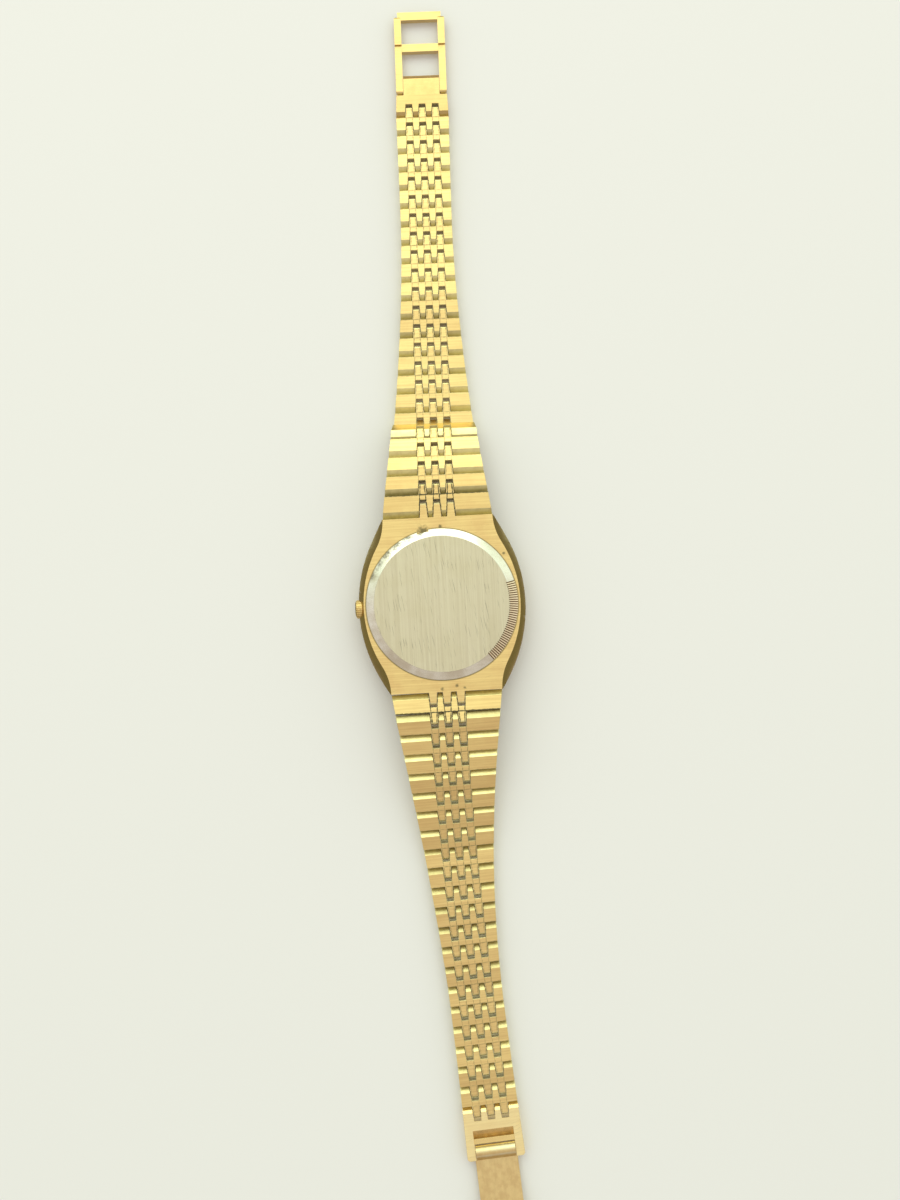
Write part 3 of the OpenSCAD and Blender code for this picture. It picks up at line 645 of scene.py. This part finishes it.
@dataclass(frozen=True)
class LinkShape:
    """Sizes of a link that its dressing needs, in mm, and limits for sorting its faces.

    Attributes:
        seam: How far before the next hinge a link ends.
        tongue_step: Distance from slot to slot.
        slot_half, slot_taper: Half a slot's width at the hinge, and how much less it gets per mm.
        slot_margin, slot_end: How far the slots count to the side, and along an end link.
        window_half: Half the width of an end link's window.
        window_low, window_high: Heights between which the window is polished.
        knuckle_r: Radius of the knuckle.
        flat_from, core: Shares of it from which a flat is brushed and up to which a face in a slot gets the recess
            gold, with dirt and painted shade.
        flat_normal, clasp_normal: Share of Z in the normal of a flat, on a link and on the clasp.
        side_normal, end_normal, under_normal: Share of X, Y and Z for slot walls, ends and undersides.
    """

    seam: float = 0.92
    tongue_step: float = 2.0
    slot_half: float = 0.6
    slot_taper: float = 0.08
    slot_margin: float = 0.12
    slot_end: float = 1.3
    window_half: float = 2.9
    window_low: float = -0.3
    window_high: float = 0.6
    knuckle_r: float = 0.85
    flat_from: float = 0.5
    core: float = 0.2
    flat_normal: float = 0.995
    clasp_normal: float = 0.97
    side_normal: float = 0.8
    end_normal: float = 0.9
    under_normal: float = -0.2


@dataclass
class Piece:
    """A dressed copy of a CAD node: merged, softened at its edges and sorted by finish.

    Attributes:
        node, body, slot: The CAD node, the body that it rides on and the record's material slot, which is not used.
        materials, sort: Materials by facet number, and what gives the facet of a face.
        frame: Matrix from the row frame to the piece's own frame, in mm.
        edge, sharp: Width of the softened edges in mm, and the angle in degrees above which they are.
        tone: Where the piece lies between bright, 0, and dull, 1.
        reach: Distance from its hinge to its outer seam in mm.
        soil: How much dirt and painted shade its seams and slots get, 1 or more for very dark ones.
        merge: Distance in metres below which points are merged.
        level, smooth: Angles in degrees below which faces are joined and shading runs on over an edge.
        pin_height: Height in mm below which a separate part is a pin.
    """

    node: bpy.types.Object
    body: str
    slot: Slot
    materials: list[Material]
    frame: Matrix
    sort: Sorter
    edge: float = 0.045
    sharp: float = 28.0
    tone: float = 0.5
    reach: float = 99.0
    soil: float = 0.5
    merge: float = 2e-7
    level: float = 0.3
    smooth: float = 12.0
    pin_height: float = 0.75

    def build(self) -> bpy.types.Object:
        """Builds the piece and hangs it on its body.

        Returns:
            The new object.
        """
        work = bmesh.new()
        work.from_mesh(self.node.data)
        bmesh.ops.remove_doubles(work, verts=work.verts, dist=self.merge)
        bmesh.ops.dissolve_degenerate(work, edges=work.edges, dist=self.merge)
        bmesh.ops.dissolve_limit(work, angle_limit=math.radians(self.level), verts=work.verts, edges=work.edges)
        if len(self.materials) > Facet.ACCENT.value:
            self.mark_pins(work)
        limit = math.radians(self.sharp)
        edges = [e for e in work.edges if e.is_manifold and e.calc_face_angle(0.0) > limit]
        bmesh.ops.bevel(
            work, geom=edges, offset=self.edge * MM, offset_type="OFFSET", affect="EDGES",
            segments=2, profile=0.5, material=-1, clamp_overlap=True,
        )
        self.sort_faces(work)
        mesh = bpy.data.meshes.new(f"{self.node.name}_dressed")
        work.to_mesh(mesh)
        work.free()
        self.write_attributes(mesh)
        mesh.set_sharp_from_angle(angle=math.radians(self.smooth))
        piece = bpy.data.objects.new(f"{self.node.name}_dressed", mesh)
        bpy.context.scene.collection.objects.link(piece)
        for material in self.materials:
            mesh.materials.append(material)
        weighted = piece.modifiers.new("weighted_normals", "WEIGHTED_NORMAL")
        weighted.keep_sharp = True
        weighted.weight = 100
        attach(piece, self.body)
        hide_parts(self.node.name)
        LOG.info("%s: %d faces", piece.name, len(mesh.polygons))
        return piece

    def mark_pins(self, work: bmesh.types.BMesh) -> None:
        """Gives the faces of separate thin pins their own material number.

        Args:
            work: The mesh in hand.
        """
        left = set(work.faces)
        while left:
            stack = [left.pop()]
            island = [stack[0]]
            while stack:
                for edge in stack.pop().edges:
                    for other in edge.link_faces:
                        if other in left:
                            left.discard(other)
                            stack.append(other)
                            island.append(other)
            heights = [(self.frame @ v.co).z for face in island for v in face.verts]
            if max(heights) - min(heights) < self.pin_height:
                for face in island:
                    face.material_index = Facet.ACCENT.value

    def sort_faces(self, work: bmesh.types.BMesh) -> None:
        """Numbers each face's material by how it was finished.

        Args:
            work: The mesh in hand.
        """
        turn = self.frame.to_3x3().normalized()
        last = len(self.materials) - 1
        for face in work.faces:
            face.smooth = True
            if face.material_index != Facet.ACCENT.value:
                place = self.frame @ face.calc_center_median()
                face.material_index = self.sort(place, turn @ face.normal).value
            face.material_index = min(face.material_index, last)

    def write_attributes(self, mesh: bpy.types.Mesh) -> None:
        """Stores each point's place in the own frame, in mm, and the piece's own values.

        Args:
            mesh: The finished mesh.
        """
        places = [value for vertex in mesh.vertices for value in self.frame @ vertex.co]
        mesh.attributes.new("local", "FLOAT_VECTOR", "POINT").data.foreach_set("vector", places)
        for name, value in {"tone": self.tone, "reach": self.reach, "soil": self.soil}.items():
            mesh.attributes.new(name, "FLOAT", "POINT").data.foreach_set("value", [value] * len(mesh.vertices))


@dataclass
class Finishes:
    """All metals of the watch, as lists in the order of Facet.

    Attributes:
        effects: The shared node groups.
        link: The link's sizes.
        bright_gold: Colour of clean gold plate.
        dull_gold: Colour of tarnished gold plate.
        mirror: Settings of finely polished metal.
    """

    effects: Effects
    link: LinkShape
    bright_gold: Triple = (0.92, 0.72, 0.31)
    dull_gold: Triple = (0.8, 0.56, 0.24)
    mirror: dict[str, float] = field(default_factory=lambda: {"spread": 0.06, "streaks": 0.05, "depth": 1e-7})
    pin: Material = field(init=False)
    recess: Material = field(init=False)
    gold: list[Material] = field(init=False)
    ladder_gold: list[Material] = field(init=False)
    clasp_gold: list[Material] = field(init=False)
    leaf_gold: list[Material] = field(init=False)
    case_gold: list[Material] = field(init=False)
    steel: list[Material] = field(init=False)
    hands: list[Material] = field(init=False)

    def __post_init__(self) -> None:
        """Builds the metals."""
        self.pin = self.metal("pin_steel", (0.7, 0.62, 0.45), (0.4, 0.33, 0.2), 0.35)
        self.build_links()
        self.build_ends()
        self.build_case()
        self.build_back()
        hand = self.metal(
            "polished_hands", (0.83, 0.62, 0.3), (0.7, 0.5, 0.22), 0.14, depth=1e-7, streaks=0.05, tarnish=0.05
        )
        self.hands = [hand]

    def metal(self, name: str, bright: Triple, dull: Triple, roughness: float, **more: object) -> Material:
        """Builds a metal with the shared effects, where more holds further fields of MetalFinish."""
        return MetalFinish(name, bright, dull, roughness, **more).build(self.effects, self.link)

    def build_links(self) -> None:
        """Builds the metals of the links."""
        brushed = self.metal(
            "brushed_gold", self.bright_gold, self.dull_gold, 0.36, grime=(0.8, 0.0), streaks=0.26, scratches=0.35
        )
        polished = self.metal(
            "polished_gold", (0.93, 0.84, 0.42), (0.72, 0.62, 0.3), 0.42,
            spread=0.08, streaks=0.06, depth=2e-7, grime=(0.25, 0.1), tarnish=0.5, clouds=3.0,
        )
        # Recess gold for slot walls, ends and undersides; its grime adds dirt and painted shade
        self.recess = self.metal(
            "dirty_gold", (0.8, 0.68, 0.35), (0.58, 0.48, 0.23), 0.5,
            grime=(0.2, 0.2), streaks=0.1, clouds=3.0, metallic=0.25,
        )
        self.gold = [brushed, polished, self.recess, self.pin]

    def build_ends(self) -> None:
        """Builds the metals of the ladder and the clasp."""
        polished = self.metal("clean_polished_gold", self.bright_gold, self.dull_gold, 0.2, **self.mirror)
        ladder = self.metal(
            "brushed_ladder_gold", (0.8, 0.61, 0.25), (0.7, 0.5, 0.21), 0.38, scratches=0.5, tarnish=0.45
        )
        ladder_side = self.metal(
            "polished_ladder_gold", (0.77, 0.57, 0.24), (0.62, 0.44, 0.18), 0.28, streaks=0.05, tarnish=0.5
        )
        self.ladder_gold = [ladder, ladder_side, self.recess, self.pin]
        clasp = self.metal("brushed_clasp_gold", (1.0, 0.86, 0.45), (0.92, 0.7, 0.33), 0.38, scratches=0.55)
        # A darker copy of the clasp gold: painted shade in the clasp's window
        window = self.metal(
            "window_gold", (0.66, 0.44, 0.17), (0.4, 0.26, 0.1), 0.3, streaks=0.08, tarnish=0.6, clouds=2.0
        )
        self.clasp_gold = [clasp, polished, window, self.pin]
        leaf = self.metal(
            "satin_leaf_gold", (0.88, 0.69, 0.34), (0.74, 0.54, 0.26), 0.4,
            stretch=(9.0, 1.2, 9.0), spread=0.12, tarnish=0.7, clouds=2.2, scratches=0.3,
        )
        barrel = self.metal(
            "worn_barrel_gold", (0.86, 0.78, 0.52), (0.8, 0.64, 0.34), 0.34,
            stretch=(0.6, 14.0, 14.0), streaks=0.12, tarnish=0.6, clouds=1.5, scratches=0.5,
        )
        self.leaf_gold = [leaf, barrel, self.recess, self.pin]

    def build_case(self) -> None:
        """Builds the metals of the case body."""
        brushed = self.metal(
            "case_brushed_gold", self.bright_gold, self.dull_gold, 0.36,
            # The rim is a dark circle of painted shade and dirt at the seam around the back cover
            tarnish=0.5, clouds=0.8, streaks=0.24, scratches=0.35, rims=((11.06, 0.16, 0.55),),
            stains=(
                (-2.26, 10.7, 5.4, 1.0), (0.3, 11.25, 5.4, 0.35), (1.5, -11.9, 5.4, 0.3),
                (2.6, -12.2, 5.4, 0.25), (-0.6, -12.3, 5.4, 0.3), (9.3, 6.9, 5.4, 0.25),
            ),
        )
        # Darker than the case's brushed gold: painted dark reflection on the polished flanks and bevels
        polished = self.metal("case_polished_gold", (0.66, 0.49, 0.2), (0.5, 0.35, 0.14), 0.2, **self.mirror)
        self.case_gold = [brushed, polished, self.recess, self.pin]

    def build_back(self) -> None:
        """Builds the metals of the back cover."""
        disc = self.metal(
            "brushed_steel_disc", (0.72, 0.675, 0.5), (0.64, 0.59, 0.4), 0.36,
            stretch=(19.0, 0.15, 19.0), spread=0.14, streaks=0.2,
            scratches=0.68, scratch_turn=1.72, scratch_tone=0.75, clouds=0.7,
            worn=(
                (-6.1, 0.9, 6.0, 0.9), (-6.0, -0.3, 6.0, 0.9), (6.2, -1.0, 6.0, 1.1), (6.0, -2.4, 6.0, 1.0),
                (-5.8, -5.2, 6.0, 1.0), (0.9, 5.6, 6.0, 1.2), (6.6, 2.2, 6.0, 0.8),
            ),
        )
        # Its tarnish clouds and the stains along its upper left paint darker reflections; its rims are painted shade
        # with dirt at its edges
        ring = self.metal(
            "polished_steel_ring", (0.97, 0.96, 0.86), (0.6, 0.52, 0.38), 0.16,
            tarnish=0.5, clouds=0.7, rims=((11.0, 0.1, 0.5), (9.85, 0.05, 0.35)),
            stains=(
                (-2.6, 10.6, 5.5, 0.7), (-4.78, 10.24, 5.5, 1.2), (-6.48, 9.26, 5.5, 1.3),
                (-7.99, 7.99, 5.5, 1.3), (-9.26, 6.48, 5.5, 1.2), (-10.24, 4.78, 5.5, 1.0),
            ),
            **self.mirror,
        )
        # Shaded and lit copies of the steel: painted shade in the knurl's grooves and on the cover's outer wall,
        # painted highlight on the lands
        groove = self.metal("knurl_groove", (0.24, 0.14, 0.07), (0.14, 0.08, 0.04), 0.4)
        land = self.metal(
            "knurl_land", (1.0, 0.89, 0.64), (0.76, 0.6, 0.38), 0.2, spread=0.06, streaks=0.05, tarnish=0.4
        )
        self.steel = [disc, ring, groove, land]


def own_frame(origin: Vector, along: Vector) -> Matrix:
    """Makes the matrix from the row frame to a link's own frame.

    Args:
        origin: The link's hinge.
        along: Direction from this hinge to the next one.

    Returns:
        A matrix that turns metres in the row frame into mm in the own frame.
    """
    y = along.normalized()
    x = y.cross(Vector((0, 0, 1))).normalized()
    z = x.cross(y)
    turn = Matrix((x, y, z)).to_4x4()
    return IN_MM @ turn @ Matrix.Translation(-origin)


@dataclass
class Bracelet:
    """The two straps with their ladder and clasp.

    Attributes:
        frame: The loaded frame.
        finishes: All metals.
        link: The link's sizes.
        dice: Source of the small differences between links.
        tones: Pieces whose tone is given; the dull tones of the first two upper links are painted reflection.
        upper_power: Power that makes most links of the upper strap bright.
        first_soil: How much dirt and painted shade the seams next to the case get.
        soil: Least and most dirt and painted shade at the other seams.
        end_edge: Width of the softened edges of end link, clasp frame and leaf, in mm.
        ladder_edge: The same for the ladder.
    """

    frame: dict
    finishes: Finishes
    link: LinkShape
    dice: random.Random
    # The dull tones of upper_link_01 and upper_link_02 paint the darker reflections of these links next to the case
    tones: dict[str, float] = field(
        default_factory=lambda: {
            "upper_link_01": 1.0, "upper_link_02": 0.9, "lower_link_01": 0.0, "ladder_link": 0.8, "clasp_frame": 0.0
        }
    )
    upper_power: float = 2.5
    first_soil: float = 3.0
    soil: tuple[float, float] = (0.4, 0.8)
    end_edge: float = 0.07
    ladder_edge: float = 0.1

    def joint(self, name: str) -> Vector:
        """Gives a joint's place in metres."""
        return Vector(next(j["pos_m"] for j in self.frame["joints"] if j["name"] == name))

    def sort_link(self, place: Vector, normal: Vector) -> Facet:
        """Sorts a link's face: flats brushed, slot walls, ends and undersides in the recess gold with dirt and
        painted shade, the rest polished.

        Args:
            place: The face's centre in the link's frame, in mm.
            normal: Its normal there.

        Returns:
            The facet.
        """
        link = self.link
        if abs(normal.z) > link.flat_normal and abs(place.z) > link.flat_from * link.knuckle_r:
            return Facet.BRUSHED
        inside = abs(place.x) < link.tongue_step + link.slot_half + link.slot_margin
        slot_wall = inside and (abs(normal.x) > link.side_normal or abs(place.z) < link.core * link.knuckle_r)
        if slot_wall or abs(normal.y) > link.end_normal or normal.z < link.under_normal:
            return Facet.RECESS
        return Facet.POLISHED

    def sort_end(self, place: Vector, normal: Vector) -> Facet:
        """Sorts a face of an end link: like a link at its hinge, like the clasp beyond.

        Args:
            place: The face's centre in the own frame, in mm.
            normal: Its normal there.

        Returns:
            The facet.
        """
        link = self.link
        if place.y < link.slot_end:
            return self.sort_link(place, normal)
        if abs(place.x) < link.window_half:
            # The window's end walls and its floor get painted shade
            if abs(normal.y) > link.end_normal or place.z < link.window_low:
                return Facet.RECESS
            if 0 < place.z < link.window_high:
                return Facet.POLISHED
        return self.sort_clasp(place, normal)

    def sort_clasp(self, place: Vector, normal: Vector) -> Facet:
        """Sorts a face of ladder or clasp: flats brushed, the rest polished."""
        return Facet.BRUSHED if abs(normal.z) > self.link.clasp_normal else Facet.POLISHED

    def build(self) -> None:
        """Builds every link, the ladder and the clasp."""
        for strap in Strap:
            names = sorted(n for n in self.frame["nodes"] if n.startswith(f"{strap.value}_link_"))
            upper = strap is Strap.UPPER
            end = "ladder_link" if upper else "clasp_frame"
            places = [self.joint(f"{n}_hinge") for n in [*names, end]]
            for i, name in enumerate(names):
                step = places[i + 1] - places[i]
                # Dirt and painted shade at the seams and slots, strongest next to the case
                soil = self.first_soil if i == 0 else self.dice.uniform(*self.soil)
                self.place(
                    name, own_frame(places[i], step), self.sort_link, self.finishes.gold,
                    reach=step.length / MM - self.link.seam, soil=soil,
                )
            last = places[-1] - places[-2]
            out = Vector((last.x, last.y, 0))
            finish = self.finishes.ladder_gold if upper else self.finishes.clasp_gold
            self.place(end, own_frame(places[-1], out), self.sort_end, finish, edge=self.end_edge)
            if upper:
                ladder = own_frame(self.joint("ladder_tilt"), out)
                self.place("ladder", ladder, self.sort_clasp, finish, edge=self.ladder_edge)
            else:
                leaf = own_frame(self.joint("clasp_leaf_fold"), out)
                self.place("clasp_leaf", leaf, self.sort_clasp, self.finishes.leaf_gold, edge=self.end_edge)

    def place(self, name: str, frame: Matrix, sort: Sorter, materials: list[Material], **more: float) -> None:
        """Builds one piece of the bracelet.

        Args:
            name: The CAD node, which is its body too.
            frame: Matrix from the row frame to the own frame.
            sort: Sorts its faces.
            materials: Its materials by facet number.
            more: Further fields of the Piece.
        """
        drawn = self.dice.random() ** (self.upper_power if name.startswith("upper") else 1.0)
        tone = self.tones.get(name, drawn)
        Piece(self.frame["nodes"][name], name, Slot.GOLD, materials, frame, sort, tone=tone, **more).build()


@dataclass
class Case:
    """Case body, back cover and crown.

    Attributes:
        frame, finishes: The loaded frame and all metals.
        knurl: Where the knurled arc starts and ends, in degrees.
        flat_r, cover_r: Radius of the flat disc and of the back cover, in mm, like all sizes.
        cover_top, ring_low: Height of the disc and of the ring's outer edge.
        ring_margin: How far inside and under the ring a face still counts as its own.
        wall_margin: How far inside the cover's radius its outer wall starts.
        groove_limit: How far under the ring a face counts as a groove.
        back_low, end_wall_y: Where the case's back face and its end walls start.
        level, disc_level, land_level: Share of Z in the normal of that face, the disc and the lands.
        upright: Share that parts walls from floors.
    """

    frame: dict
    finishes: Finishes
    knurl: tuple[float, float] = (-50.5, 15.5)
    flat_r: float = 9.85
    cover_r: float = 11.0
    cover_top: float = 6.0
    ring_low: float = 5.52
    ring_margin: tuple[float, float] = (0.3, 0.15)
    wall_margin: float = 0.1
    groove_limit: float = -0.04
    back_low: float = 5.0
    end_wall_y: float = 12.6
    level: float = 0.99
    disc_level: float = 0.999
    land_level: float = 0.3
    upright: float = 0.5

    def sort_body(self, place: Vector, normal: Vector) -> Facet:
        """Sorts a face of the case: back face brushed, end walls at the seams in the recess gold with dirt and
        painted shade, rest polished.

        Args:
            place: The face's centre in mm.
            normal: Its normal.

        Returns:
            The facet.
        """
        if normal.z > self.level and place.z > self.back_low:
            return Facet.BRUSHED
        # End walls beside the links get the recess gold: dirt and painted shade between case and strap
        return Facet.RECESS if abs(place.y) > self.end_wall_y else Facet.POLISHED

    def sort_back(self, place: Vector, normal: Vector) -> Facet:
        """Sorts a face of the back cover: disc brushed, grooves and outer wall in painted shade, lands with a painted
        highlight, ring polished.

        Args:
            place: The face's centre in mm.
            normal: Its normal.

        Returns:
            The facet.
        """
        radius = math.hypot(place.x, place.y)
        if normal.z > self.disc_level and radius < self.flat_r:
            return Facet.BRUSHED
        inwards, under = self.ring_margin
        if radius > self.flat_r - inwards and place.z > self.ring_low - under:
            slope = (self.cover_top - self.ring_low) / (self.cover_r - self.flat_r)
            around = abs(normal.x * place.y - normal.y * place.x) / radius
            above_ring = place.z - self.ring_low - slope * (self.cover_r - radius)
            outer_wall = normal.z < self.upright and radius > self.cover_r - self.wall_margin
            groove_floor = normal.z > self.upright and above_ring < self.groove_limit
            # Groove walls, groove floors and the cover's outer wall get painted shade
            if around > self.upright or outer_wall or groove_floor:
                return Facet.RECESS
        angle = math.degrees(math.atan2(place.y, place.x))
        if radius > self.flat_r and normal.z > self.land_level and self.knurl[0] < angle < self.knurl[1]:
            return Facet.ACCENT
        return Facet.POLISHED

    def build(self) -> None:
        """Builds the three pieces."""
        nodes, metals = self.frame["nodes"], self.finishes
        Piece(nodes["case_body"], "case", Slot.GOLD, metals.case_gold, IN_MM, self.sort_body, edge=0.05).build()
        Piece(
            nodes["case_back"], "case", Slot.STEEL, metals.steel, IN_MM, self.sort_back, edge=0.02, sharp=14
        ).build()
        Piece(
            nodes["crown"], "crown", Slot.GOLD, metals.ladder_gold, IN_MM,
            lambda place, normal: Facet.POLISHED, edge=0.03,
        ).build()


@dataclass
class Inside:
    """Crystal, dial, hands and what is inside the case.

    Attributes:
        frame: The loaded frame.
        finishes: All metals.
        index_limit: Height of the indices that is polished, in mm.
    """

    frame: dict
    finishes: Finishes
    index_limit: float = 0.13

    def build(self) -> None:
        """Dresses the inner nodes and builds the dial and the hands."""
        plain = {
            "crystal": CrystalFinish(),
            "seals": PlainFinish("black_rubber", (0.05, 0.05, 0.05), (0.03, 0.03, 0.03), 0.6),
            "movement_plate": PlainFinish("brass_plate", (0.72, 0.6, 0.34), (0.6, 0.48, 0.25), 0.35, metallic=1.0),
            "circuit_block": PlainFinish("green_board", (0.07, 0.24, 0.14), (0.05, 0.17, 0.1), 0.4),
            "battery": PlainFinish("cell_steel", (0.75, 0.75, 0.74), (0.62, 0.62, 0.6), 0.25, metallic=1.0),
            "stem": PlainFinish("stem_steel", (0.7, 0.7, 0.68), (0.55, 0.55, 0.53), 0.3, metallic=1.0),
        }
        nodes, hands = self.frame["nodes"], self.finishes.hands
        for name, finish in plain.items():
            materials = nodes[name].data.materials
            materials.clear()
            materials.append(finish.build())
            LOG.info("%s: dressed in %s", name, finish.name)
        index_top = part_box("dial")[0][2] / MM + self.index_limit
        Piece(
            nodes["dial"], "case", Slot.DIAL, [DialFinish().build(), *hands], IN_MM,
            lambda place, normal: Facet.POLISHED if place.z < index_top else Facet.BRUSHED, edge=0.02,
        ).build()
        for name in ("hour_hand", "minute_hand", "second_hand"):
            Piece(nodes[name], name, Slot.HANDS, hands, IN_MM, lambda place, normal: Facet.BRUSHED, edge=0.03).build()


@dataclass
class Studio:
    """Pale floor, soft light and the camera at the photo's angle.

    Attributes:
        aim, distance: Point that the camera looks at, and how far it is, in mm.
        tilt, roll: Turn of the camera from straight down and about its own axis, in degrees.
        lens: Focal length for a 36 mm long side.
        floor_size, floor_drop: Side of the floor, and how far under the crystal it lies, in metres.
        floor_colour, floor_mirrored: Its colour, and the darker one that the metal mirrors.
        underside_reach: Distance in mm within which the floor lets light through to the underside.
        near_colour, middle_colour, far_colour: Colours of the sky towards -Y, overhead and towards +Y.
        near_level, far_extra: Its strength towards -Y, and what it has more towards +Y.
        horizon_level, side_level, under_level: Its strength at the horizon, towards -X and from below.
        lamp_place, lamp_size: Place of the lamp, and its width and height, in metres.
        lamp_watts, lamp_colour: Its power and colour.
    """

    aim: tuple[float, float] = (1.17, 0.9)
    distance: float = 190.0
    tilt: float = 4.2
    roll: float = -3.12
    lens: float = 38.28
    floor_size: float = 3.0
    floor_drop: float = 0.00002
    floor_colour: Triple = (0.78, 0.78, 0.79)
    floor_mirrored: Triple = (0.26, 0.25, 0.17)
    underside_reach: float = 8.0
    near_colour: Triple = (1.0, 0.91, 0.82)
    middle_colour: Triple = (1.0, 0.96, 0.9)
    far_colour: Triple = (0.95, 1.07, 0.86)
    near_level: float = 0.71
    far_extra: float = 0.22
    horizon_level: float = 0.8
    side_level: float = 0.85
    under_level: float = 0.85
    lamp_place: Triple = (-0.06, 0.42, 0.42)
    lamp_size: tuple[float, float] = (0.6, 0.45)
    lamp_watts: float = 1.0
    lamp_colour: Triple = (1.0, 0.99, 0.88)

    def camera(self) -> None:
        """Places the camera."""
        data = bpy.data.cameras.new("photo_camera")
        data.lens = self.lens
        data.sensor_width = 36.0
        data.clip_start = 0.005
        data.clip_end = 20.0
        camera = bpy.data.objects.new("photo_camera", data)
        bpy.context.scene.collection.objects.link(camera)
        lean = math.radians(self.tilt)
        camera.location = (
            self.aim[0] * MM,
            (self.aim[1] - self.distance * math.sin(lean)) * MM,
            self.distance * math.cos(lean) * MM,
        )
        turn = Matrix.Rotation(lean, 3, "X") @ Matrix.Rotation(math.radians(self.roll), 3, "Z")
        camera.rotation_euler = turn.to_euler()
        bpy.context.scene.camera = camera
        LOG.info("camera placed")

    def floor(self) -> None:
        """Lays the pale floor, see-through from below and for light that goes straight to the underside."""
        work = bmesh.new()
        bmesh.ops.create_grid(work, x_segments=1, y_segments=1, size=self.floor_size / 2)
        mesh = bpy.data.meshes.new("floor")
        work.to_mesh(mesh)
        work.free()
        floor = bpy.data.objects.new("floor", mesh)
        floor.location.z = -self.floor_drop
        bpy.context.scene.collection.objects.link(floor)
        material, graph, shader = new_material("pale_floor")
        rays = graph.node("ShaderNodeLightPath").outputs
        colour = graph.mix(rays["Is Glossy Ray"], rgba(self.floor_colour), rgba(self.floor_mirrored))
        graph.feed(shader, {"Base Color": colour, "Roughness": 0.9, "Specular IOR Level": 0.1})
        clear = graph.node("ShaderNodeBsdfTransparent")
        below = graph.node("ShaderNodeNewGeometry").outputs["Backfacing"]
        seen_below = graph.times(below, rays["Is Camera Ray"])
        close = graph.step(rays["Ray Length"], self.underside_reach * MM, self.underside_reach * MM / 4)
        underside = graph.times(close, graph.minus(1.0, rays["Is Camera Ray"]))
        share = graph.math("MAXIMUM", seen_below, underside)
        blend = graph.node("ShaderNodeMixShader", {0: share, 1: shader.outputs[0], 2: clear.outputs[0]})
        out = next(n for n in graph.tree.nodes if n.type == "OUTPUT_MATERIAL")
        graph.feed(out, {"Surface": blend.outputs[0]})
        mesh.materials.append(material)
        LOG.info("floor laid")

    def lamp(self) -> None:
        """Hangs a rectangular soft lamp that points at the case."""
        data = bpy.data.lights.new("key", "AREA")
        data.shape = "RECTANGLE"
        data.size, data.size_y = self.lamp_size
        data.energy = self.lamp_watts
        data.color = self.lamp_colour
        lamp = bpy.data.objects.new("key", data)
        lamp.location = self.lamp_place
        lamp.rotation_euler = (-Vector(self.lamp_place)).to_track_quat("-Z", "Y").to_euler()
        bpy.context.scene.collection.objects.link(lamp)
        LOG.info("lamp hung")

    def sky(self) -> None:
        """Surrounds the set with a soft grey sky that is brightest above +Y."""
        world = bpy.data.worlds.new("studio")
        bpy.context.scene.world = world
        world.use_nodes = True
        graph = Graph(world.node_tree)
        background = next(n for n in graph.tree.nodes if n.type == "BACKGROUND")
        way = graph.node("ShaderNodeTexCoord").outputs["Generated"]
        x, y, z = graph.node("ShaderNodeSeparateXYZ", {0: way}).outputs
        past_near = graph.step(y, -0.6, 0.05)
        far = graph.step(y, 0.0, 0.5)
        level = graph.math(
            "ADD", graph.span(past_near, self.near_level, 1.0), graph.span(far, 0.0, self.far_extra)
        )
        horizon = graph.span(graph.step(z, -0.05, 0.55), self.horizon_level, 1.0)
        side = graph.span(graph.step(x, -0.3, -0.9), 1.0, self.side_level)
        under = graph.span(graph.step(z, -0.05, -0.35), 1.0, self.under_level)
        colour = graph.mix(past_near, rgba(self.near_colour), rgba(self.middle_colour))
        graph.feed(background, {
            "Color": graph.mix(far, colour, rgba(self.far_colour)),
            "Strength": graph.times(graph.times(level, horizon), graph.times(side, under)),
        })
        LOG.info("sky set")

    def build(self) -> None:
        """Builds the whole set."""
        bpy.context.scene.view_settings.view_transform = "Standard"
        self.camera()
        self.floor()
        self.sky()
        self.lamp()


def main() -> None:
    """Loads the frame, builds the watch in order and keeps its size."""
    logging.basicConfig(level=logging.INFO, format="%(message)s")
    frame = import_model()
    link = LinkShape()
    finishes = Finishes(Effects(), link)
    Case(frame, finishes).build()
    Bracelet(frame, finishes, link, random.Random(SEED)).build()
    Inside(frame, finishes).build()
    Studio().build()


if __name__ == "__main__":
    main()
